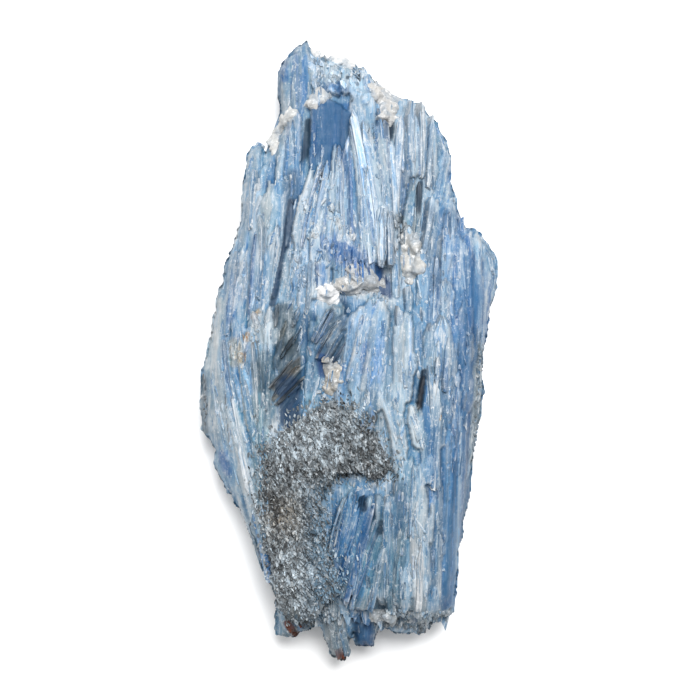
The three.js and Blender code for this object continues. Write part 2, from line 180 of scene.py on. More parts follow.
SPRAY = [
    [-11, 22, 20.6, -7.2, 35.6, 20.8, 1.5, WHITE, 0.6],
    [-9.6, 20, 21.2, -5.6, 36.4, 21, 1.4, WHITE, 0.6],
    [-7.6, 18, 22, -4.2, 37, 21.2, 1.4, PALE, 0.6],
    [-6.6, 16, 22.6, -3.4, 35.4, 21.4, 1.3, MID, 0.5],
    [-4.6, 16, 23, -2.2, 40.6, 21, 1.5, PALE, 0.5],
    [-1.2, 16, 23.6, -0.8, 40, 21.4, 1.6, MID, 0.5],
    [3, 17, 23.8, 1.2, 43, 21, 1.2, PALE, 0.5],
    [4.2, 17, 24.2, 0.3, 46.2, 20.8, 1.5, WHITE, 0.6],
    [5.2, 17, 24.4, 2, 41.6, 21.2, 1.3, VIVID, 0.4],
    [6.8, 18, 24.6, 3.4, 45.2, 21, 2, PALE, 0.7],
    [8.4, 20, 24.2, 5.6, 48.2, 19.5, 2.2, BLUE, 0.6],
    [9, 20, 24.4, 6.4, 42.8, 20.9, 1.9, "b4bfc9", 0.7],
    [8.6, 22, 23.8, 8.2, 41, 20.8, 1.8, WHITE, 0.7],
    [8.2, 24, 22.4, 10, 45.8, 19.4, 2, PALE, 0.7],
    [9, 25, 21.8, 11.6, 44.8, 19.2, 1.6, WHITE, 0.5],
    [9.4, 27, 20.8, 12.6, 42.6, 18.8, 1.8, VIVID, 0.5],
    [1, 16, 22.6, 0.6, 43, 19.8, 4.4, "8fb0d4", 0.5],
]
RIGHT_SHOULDER = [
    [10.2, 28, 17, 11.2, 50.2, 15, 2.6, PALE, 0.3],
    [12.6, 26, 16.5, 12.9, 49.6, 14.5, 2, PALE, 0.3],
    [13.4, 26, 17, 14.2, 50, 14.5, 2.2, WHITE, 0.3],
    [15.2, 24, 16, 15.7, 47.4, 14.5, 2.6, PALE, 0.3],
    [17.4, 22, 14.5, 17.6, 45.6, 12.5, 2.8, MID, 0.3],
    [19.2, 18, 12.5, 19.2, 42, 11, 2.4, MID, 0.3],
    [20, 15, 11, 20, 36, 10, 1.6, MID, 0.3],
    [11.2, 20, 19.6, 14.4, 41.4, 17.5, 2.4, GREY_BLUE, 0.5],
    [13, 20, 19.8, 17.2, 39.6, 17.8, 2, "b9c4cd", 0.5],
    [15.2, 18, 19.6, 19.4, 41, 15, 2, MID, 0.4],
    [16.8, 16, 19.4, 20.2, 37, 14, 1.8, PALE, 0.4],
    [11.2, 12, 20, 12.8, 30, 19, 2.2, TEAL, 0.4],
    [14.8, 12, 21, 17.4, 31, 19.6, 1.5, PALE, 0.5],
    [16, 10, 21.5, 18.4, 29.5, 19.4, 1.4, DEEP, 0.6],
    [18.4, 10, 20, 20.6, 31, 17, 1.8, PALE, 0.4],
    [20.6, 8, 18, 21, 29.6, 14.5, 1.8, BLUE, 0.3],
    [21.2, 8, 18, 22.2, 26.8, 14, 1.4, MID, 0.3],
    [14.3, 10, 21, 14.9, 24, 20.5, 1.6, MID, 0.3],
]
MIDDLE = [
    [6.6, 16.2, 26.5, 6.7, 27.6, 26, 3.4, PALE, 0.6],
    [4.2, 12, 25, 3.2, 30, 24.2, 1.8, PALE, 0.5],
    [8.8, 10, 23.5, 9, 26, 22.5, 1.4, MID, 0.3],
    [-9.5, 8, 23, -9, 29, 22, 2, PALE, 0.4],
    [-7.3, 10, 24.5, -6.6, 24.4, 24.3, 1.8, WHITE, 0.5],
    [-11.5, 6, 22, -10.2, 19.5, 22, 2.6, PALE, 0.4],
    [-12.6, 5, 21.5, -12, 14.8, 21.5, 1.8, MID, 0.3],
    [-9.2, 7, 23.5, -8.6, 17, 23.8, 2, PALE, 0.4],
    [-2.6, 12, 25, -2.2, 26.8, 25, 2.4, GREY, 0.3],
    [-0.3, 12, 25, 0, 22.8, 25, 1.8, PALE, 0.3],
    [-4.6, 11, 24.5, -4.6, 22, 24.5, 1.8, MID, 0.3],
    [0.8, 12, 24.6, 1, 20.5, 24.6, 2.4, BLUE, 0.3],
    [-1.5, 11, 24.6, -1.4, 20.5, 24.6, 1.4, VIVID, 0.3],
    [13.9, -4, 25, 14.2, 21, 23, 2, MID, 0.3],
    [15.6, -3, 25.5, 16.2, 19, 22.5, 1.6, BLUE, 0.3],
    [17.6, -6, 25, 17.6, 15, 23, 2.4, MID, 0.3],
    [19.6, -8, 24, 19.6, 14, 22, 2.4, MID, 0.3],
    [11.4, -2, 25.5, 11.2, 12.8, 24, 1.6, MID, 0.3],
]
RIGHT_BLOCK = [
    [21.2, -10, 22.5, 21.6, 24, 18, 2.2, MID, 0.2],
    [23.2, -12, 22, 23.4, 25, 17, 2.4, MID, 0.2],
    [25, -10, 21, 25.4, 24.4, 15.5, 2.4, PALE, 0.2],
    [25.4, -6, 18.5, 27, 22.6, 13, 2.4, PALE, 0.2],
    [26.8, 4, 15.5, 28.2, 19.4, 11.5, 2.4, PALE, 0.3],
    [27.8, 7, 13, 29.1, 16.4, 10.5, 1.8, PALE, 0.3],
    [26, -8, 14, 27, 8, 13, 1.8, PALE, 0.3],
    [23.2, -26, 16, 25.6, 2, 15, 2.2, GREY, 0.4],
    [24, -25, 13, 26, -3, 13, 2, GREY, 0.6],
]
RIGHT_FACES = [
    [19.2, -51.5, 17.4, 22, 10, 23.4, 4.6, DEEP, 0.5],
    [17.8, -52.5, 18.6, 20, -4, 25, 3.6, BLUE, 0.4],
    [19.7, -50.5, 14.6, 24.6, 3, 18.6, 3, DEEP, 0.4],
    [24.6, -2, 20, 25, 16.4, 16.4, 3.6, DEEP, 0.6],
]
DEEP_FACE = [[-3.4, 20, 18.6, -3.3, 51, 18.9, 7.8, "426b98", 0.8]]
LOWER_FAN = [
    [-1.5, -12, 27, 1.6, 8.5, 28, 3.2, MID, 0.3],
    [0.8, -14, 28.5, 4, 10.5, 29, 3.4, PALE, 0.3],
    [3.4, -16, 29.5, 6, 11, 29.5, 2.8, MID, 0.3],
    [5.6, -12, 29, 6.9, 8, 28.8, 1.6, PALE, 0.3],
    [7.6, -14, 26.8, 7.6, 9, 26, 1.4, SLATE, 0.3],
    [9.4, -14, 29.5, 9.2, 8.6, 27.8, 2.2, PALE, 0.4],
    [10.2, -12, 30, 9.8, 5, 29.5, 2, WHITE, 0.4],
    [11.6, -10, 30, 11.3, 8, 28.5, 2, PALE, 0.4],
    [15.2, -20, 26, 15.4, 6, 28, 2.4, MID, 0.3],
    [17.2, -19, 25, 17.6, 7, 27, 2.4, PALE, 0.4],
    [19.2, -14, 25, 19.4, 4, 26, 1.8, PALE, 0.3],
    [10.4, -24, 28.2, 8.2, -6, 29.2, 2.8, PALE, 0.3],
    [10.2, -22, 28.6, 5.6, -7, 29.4, 1, WHITE, 0.7],
    [13.6, -19, 28.8, 11.8, -10.5, 29.8, 1.6, WHITE, 0.8],
    [15, -26, 27.6, 13.6, -5, 28, 2, MID, 0.3],
    [16.8, -27, 26, 16.4, -7, 28, 1.8, PALE, 0.3],
    [10.4, -52, 22.5, 10.8, -20, 29, 3.2, TEAL, 0.3],
    [13.6, -53, 22, 13, -22, 29, 3.2, PALE, 0.4],
    [13.6, -36.5, 27.6, 13.9, -25.5, 28.8, 1.7, WHITE, 0.5],
    [16.4, -53, 19.5, 16.6, -20, 25.6, 3.2, MID, 0.3],
    [8.2, -52, 22, 7.6, -28, 27.5, 3, TEAL, 0.4],
    [5.8, -50, 22.5, 5.8, -27, 27, 2.2, TEAL, 0.3],
]
LOWER_HOLLOW = [
    [-3.6, -44, 23, 0.6, -26.4, 27, 2, BLUE, 0.3],
    [-2.8, -47, 23, 2.6, -27.6, 27.2, 1.4, "4a80b4", 0.7],
    [-1.8, -48.6, 22.8, 3.6, -28, 27.2, 1, "a5c2d4", 0.7],
    [-1, -50, 22.5, 4.4, -29.4, 27.2, 1.5, "3f73a8", 0.7],
    [0.2, -50.6, 22.4, 5, -31, 27, 0.9, "8fb4c6", 0.7],
    [1.2, -51, 22.2, 5.8, -32, 26.8, 1.5, "4f86b0", 0.6],
    [2.6, -51.4, 22, 6, -35, 26.4, 1, "7ea3b6", 0.7],
    [3.6, -51.6, 21.8, 6.6, -38, 26, 1.4, TEAL, 0.6],
    [-3.8, -40, 24, -0.8, -27.4, 27, 0.9, "93b3c4", 0.6],
    [-3.4, -38, 24.6, -1.6, -30, 26.8, 0.8, "3a6a9a", 0.7],
]
# The bold pointed blades of the spray and of the right shoulder, then thin blue and black strips beside them,
# painted shade in the gaps.
BOLD_BLADES = [
    [4.4, 17, 25, 0.1, 46.4, 21.8, 1.5, "d3dfea", 0.95],
    [3, 17, 24.8, 1.5, 43.2, 22, 1, "cfdcea", 0.9],
    [7, 18, 25.2, 3.5, 45.4, 21.8, 1.7, "c3d1df", 0.9],
    [8.6, 20, 25, 6.2, 43, 21.6, 1.8, "aebcc9", 0.9],
    [8.7, 24, 24.4, 8.5, 41, 21.4, 1.3, "c9d5e0", 0.9],
    [8.8, 26, 23.2, 10.3, 46, 20.2, 1.7, "bccbdb", 0.9],
    [-7.4, 18, 23, -4.1, 37.2, 22.2, 1.1, "e8edf1", 0.95],
    [-9.4, 20, 22.4, -5.7, 36.6, 22, 1, "e8edf1", 0.95],
    [-10.8, 22, 21.8, -7.3, 35.8, 21.6, 1.1, "eef1f4", 0.95],
    [-4.8, 16, 24, -2.3, 40.8, 22, 1.2, "c6d6e6", 0.9],
    [-1.4, 18, 24, -0.9, 37.4, 22, 1, "b4cae2", 0.9],
    [12.1, 34, 19.8, 12.4, 49.2, 18, 1.5, "cddbe9", 0.9],
    [14.5, 34, 19.4, 14.4, 49, 17.6, 1.3, "dfe7ee", 0.9],
    [16.6, 32, 18.8, 16.4, 46.4, 16.6, 1.2, "c3d3e3", 0.8],
    [6.1, 16.6, 27, 6.2, 27.4, 26.8, 1.2, "d9e3ed", 0.9],
    [7.4, 16.4, 26.8, 7.4, 26.8, 26.6, 1, "bfd0e2", 0.9],
    [13.4, -51, 23.2, 13.3, -38, 26.8, 1.9, "e8edf1", 1],
]
# Painted shade: the black strips stand for the shade in slots, crevices and pits. The blue ones are partly
# the mineral's deeper blue and partly painted shade between the blades. The last two are a blue line and a
# pale line on the right faces.
GAP_SHADE_AND_LINES = [
    [4.9, 20, 25.4, 1.5, 44.6, 22, 0.45, "3f6fae", 0.6],
    [5.8, 20, 25.4, 2.6, 41.4, 22, 0.4, "4a78b0", 0.6],
    [7.6, 22, 25.2, 4.9, 45, 21.8, 0.4, "3a5f90", 0.6],
    [8.3, 26, 24.6, 7.4, 41, 21.8, 0.4, "33537e", 0.6],
    [-5.7, 20, 23.4, -3, 36.6, 22, 0.45, "4a78b0", 0.9],
    [-8.2, 22, 22.6, -5, 34.6, 22, 0.4, "4f7fb8", 0.9],
    [0.7, 18, 24.2, -0.1, 39, 22, 0.5, "3f6fae", 0.9],
    [13.4, 34, 19.8, 13.4, 47, 18, 0.35, "4a6f9e", 0.9],
    [15.6, 34, 19.4, 15.5, 46, 17.4, 0.35, "3f6494", 0.9],
    [13.1, -11.4, 29.6, 14.2, -4.8, 29.8, 0.8, "141c26", 1.2],
    [16.3, -6.6, 28.8, 16.9, -3, 29, 0.4, "22344a", 1.1],
    [9.6, 23.4, 23.6, 11, 31.8, 21.6, 0.6, "262e37", 1.1],
    [13.4, 27.4, 21.6, 14, 33, 21, 0.4, "2a3a4f", 1.1],
    [-15, 10, 22, -12.6, 22, 20.6, 0.7, "33445a", 1],
    [-12.6, 20, 20.6, -11.6, 30, 19.4, 0.9, "33445a", 1],
    [3, -31, 27.2, 2.6, -28.6, 27.2, 0.5, "22344a", 1],
    [18.8, -40, 24, 19.2, -16, 25.2, 0.3, "4c779f", 0.8],
    [21.6, -44, 22, 22, -12, 23, 0.3, "9dbbd6", 0.6],
]
FINE_BLADES = [
    [-17.6, -34, 21, -23.4, -8, 20.8, 0.9, WHITE, 0.8],
    [-18.6, -33, 20.4, -24.4, -10, 20, 1, "dfe7ee", 0.8],
    [-19.8, -33, 19.8, -22.6, -14, 20.8, 1.2, WHITE, 0.8],
    [-20.4, -28, 20, -22.4, -17.6, 20.8, 1.6, "e6ecf1", 0.9],
    [-24.6, -22, 17.8, -28, -4, 15.8, 0.8, "5f86b4", 0.8],
    [-23.4, -20, 19, -26.6, 0, 17.6, 0.9, "c9d7e4", 0.7],
    [-22.4, -14, 20.4, -25.4, 2, 19, 1.1, "7ba0c6", 0.7],
    [-21, -12, 21.6, -23.6, 2, 20.8, 0.9, "e0e7ec", 0.7],
    [-20, -16, 22, -22, 0, 21.8, 0.8, CREAM, 0.7],
    [-19, -18, 22.4, -21, -2, 22.6, 1, "8db0cf", 0.7],
    [-18, -14, 23, -19.4, 2, 23.2, 0.8, "d5e0e8", 0.7],
    [-17.4, -20, 22.8, -18, -6, 23.4, 0.9, "8fb0bf", 0.7],
    [-16.2, -22, 23.2, -16.4, -8, 23.8, 0.9, "a9c4cf", 0.7],
    [-23.6, -19, 20, -25, -8, 19.6, 0.3, "4b4a4c", 0.9],
    [-18.4, -46, 16.4, -22.6, -27, 17.4, 0.9, "c2d3e2", 0.7],
    [-16.6, -46, 17.4, -19.4, -32, 19.2, 0.7, "6d93bd", 0.7],
    [-24.8, 3, 19, -23.2, 20, 19.6, 0.9, "d0dce7", 0.7],
    [-20, 6, 21, -18.8, 24, 20.6, 0.7, "5c88c0", 0.7],
    [-18.6, 10, 21.4, -18, 27, 20.8, 0.9, "d3dee8", 0.6],
    [-15.4, 10, 21.6, -14.2, 26, 21, 0.8, "c6d5e3", 0.6],
    [-16.6, 24, 20.6, -16, 34, 20.4, 1.6, "c9d3da", 0.7],
    [-19.8, 24, 18.6, -19.4, 36, 17.4, 1, "d5e0ea", 0.6],
    [-14.6, 33, 20, -13.6, 44, 19, 0.9, "c3d5e6", 0.7],
    [-12.8, 34, 20, -12, 46, 19.4, 0.6, "4f80b8", 0.7],
    [14.2, 34, 19, 13.8, 48, 17, 1, WHITE, 0.7],
    [11.8, 38, 18.6, 12.2, 49, 17, 0.8, WHITE, 0.6],
    [17, 34, 18, 16.8, 45, 15.6, 0.9, "d5e0ea", 0.6],
    [14.8, 19, 22, 16.6, 30, 20.6, 1, "dde5ea", 0.7],
    [12.6, 20, 22, 13.6, 33, 20.4, 0.8, "a9bdc8", 0.7],
    [2.4, -8, 29.6, 5.2, 8.6, 30, 1, "c5d5e5", 0.6],
    [-0.4, -6, 28.4, 2.8, 8, 29.2, 0.8, "7fa3cb", 0.7],
    [9.8, -6, 30.2, 10.2, 6, 30, 1, WHITE, 0.8],
    [11.6, -4, 30, 11.4, 7, 29.4, 0.7, "dce5ec", 0.7],
    [17.2, -6, 28.2, 17.4, 6, 28, 1, "d3dfe9", 0.7],
    [15.8, -12, 27.8, 15.4, -2, 28.4, 0.9, "c3d3e2", 0.7],
    [19, -8, 26.6, 19.2, 3, 26.4, 0.9, "cbd9e5", 0.6],
    [14.2, -34, 27.4, 13.8, -24, 28.2, 0.8, WHITE, 0.8],
    [13.2, -50, 23, 13.4, -38, 26.4, 1.4, "e6ecf0", 0.9],
    [12, -36, 27, 12, -22, 28.4, 0.7, "b5cadd", 0.7],
    [15.8, -38, 25.6, 16, -28, 26.8, 0.6, WHITE, 0.7],
    [8.8, -48, 23.6, 9.4, -34, 26.6, 0.8, "9bb8c8", 0.7],
    [7.4, -46, 24, 8, -30, 27, 0.6, "5b8ab4", 0.7],
]
LEFT_FAN = [
    [-28.8, -17.4, 10, -29, -3, 10.5, 2, GREY, 0.3],
    [-27.6, -8, 10.5, -27.4, 6, 11, 1.8, PALE, 0.3],
    [-25.8, -26, 12, -28.4, -2.4, 11.5, 2.6, MID, 0.2],
    [-22, -30, 15, -27.6, -1, 13, 3, MID, 0.2],
    [-23.6, -27.5, 12, -26.2, -20.5, 12, 2.2, MID, 0.2],
    [-19.4, -35, 17.5, -25.4, 0, 17, 3, MID, 0.2],
    [-17.8, -39, 19, -23.2, 4.2, 20, 3, PALE, 0.2],
    [-16.6, -40, 20.5, -21.4, 6.5, 22, 3, PALE, 0.2],
    [-16.2, -36, 21.5, -19.2, 8.2, 23, 2.8, MID, 0.2],
    [-16, -30, 22, -17, 6.5, 23.5, 2.6, TEAL, 0.2],
    [-14.8, -24, 22.5, -15.2, 8.6, 23.5, 2.2, TEAL, 0.2],
    [-17.6, -44, 15, -21.6, -28, 15, 2.6, MID, 0.2],
    [-14.8, -52, 14, -18.8, -34, 16.5, 2.6, MID, 0.2],
    [-12.8, -56.4, 13, -15.6, -42, 16.5, 3, GREY_BLUE, 0.2],
]
DARK_ZONE = [
    [-12.5, -15, 20.5, -12.2, 8, 20, 4.4, NIGHT, 0.5],
    [-9.6, -15, 21, -9.4, 9, 21, 3, NIGHT, 0.4],
    [-7.4, -16, 26, -6.6, 7.5, 25, 2.8, TEAL, 0.5],
    [-3.6, -4, 25.5, -2.4, 9, 25.5, 4.4, SLATE, 0.5],
    [-5.6, -0.6, 26.2, -1.8, 7.4, 26.4, 3.4, SLATE, 0.6],
    [-5.2, 0.4, 26.8, -1.4, 5.6, 27, 1.2, WHITE, 0.6],
]
# Fragments lying across the grain in the dark zone and above it.
ACROSS = [
    [-15.2, -9.6, 24.2, -9, -2.6, 24.8, 1.1, BROWN, 0.9],
    [-15.6, -7.4, 24.4, -9.6, -0.6, 25, 0.8, CHARCOAL, 0.9],
    [-14.2, -10.8, 24.6, -8.4, -5, 25, 0.8, "2b3742", 0.9],
    [-14.6, -3.8, 24.2, -13.4, 2.8, 24.8, 0.9, "46525e", 0.8],
    [-13.4, -1.6, 24.6, -11, 2.4, 25, 0.7, "39424a", 0.9],
    [-12, -3.4, 24.4, -10, -0.4, 24.8, 0.8, "5a6f84", 0.8],
    [-13.4, 2.2, 24.2, -12.4, 6.2, 24.6, 0.9, "5f5f58", 0.8],
    [-11.6, 0.8, 24.8, -9.6, 4.2, 25, 0.6, "465462", 0.9],
    [-14.6, 4.6, 24.4, -14.2, 9, 24.4, 0.8, "55606b", 0.7],
    [-11.2, 4.4, 24.4, -9.8, 8, 24.8, 0.8, "6b8096", 0.7],
    [-12.6, -13.4, 24, -8.6, -8.4, 24.8, 0.9, "2a4868", 0.9],
    [-13.8, -12, 23.8, -10, -7.6, 24.6, 0.6, "7f9bb0", 0.8],
    [-15, -3, 24, -12.6, 0.6, 24.4, 0.6, "8796a2", 0.8],
    [-6.4, -1.6, 27, -1.6, 6.4, 27.4, 1.7, "5b7490", 0.8],
    [-5, -2.4, 27.2, -0.4, 5.6, 27.6, 1.2, "6f88a3", 0.8],
    [-6.8, 1.4, 27, -3.4, 8, 27.2, 1.3, "4d6784", 0.8],
    [-5.4, 0.4, 27.6, -2, 6.2, 27.8, 0.4, WHITE, 0.9],
    [-4.2, -0.8, 27.6, -0.8, 5, 27.8, 0.4, "c5d3df", 0.9],
    [-3.4, -2.6, 27.4, -0.4, 2.4, 27.6, 0.5, "3f5a78", 0.8],
]
FOOT = [
    [-1.6, -62, 13, -4.2, -48, 18, 3.6, GREY, 0.3],
    [4, -59.4, 11, 3.4, -48, 17, 2.8, NIGHT, 0.5],
    [1.6, -58.6, 10, 1.4, -48, 16, 2.6, DEEP, 0.5],
    [-8.8, -56, 13, -9.5, -48, 18, 4, GREY, 0.3],
    [13, -54.8, 14, 13, -48, 18, 3.4, GREY, 0.3],
    [15.8, -54, 13, 16, -48, 17, 2.6, TEAL, 0.3],
    [10.3, -54.4, 15, 10.4, -47, 19, 2.6, SLATE, 0.3],
    [18.4, -52.6, 13, 18.4, -46, 17, 2.8, TEAL, 0.3],
    [7, -55.6, 14, 7.2, -48, 18, 2.6, SLATE, 0.3],
    [-12.6, -57, 11, -12.4, -50, 14, 2.6, GREY_BLUE, 0.3],
]
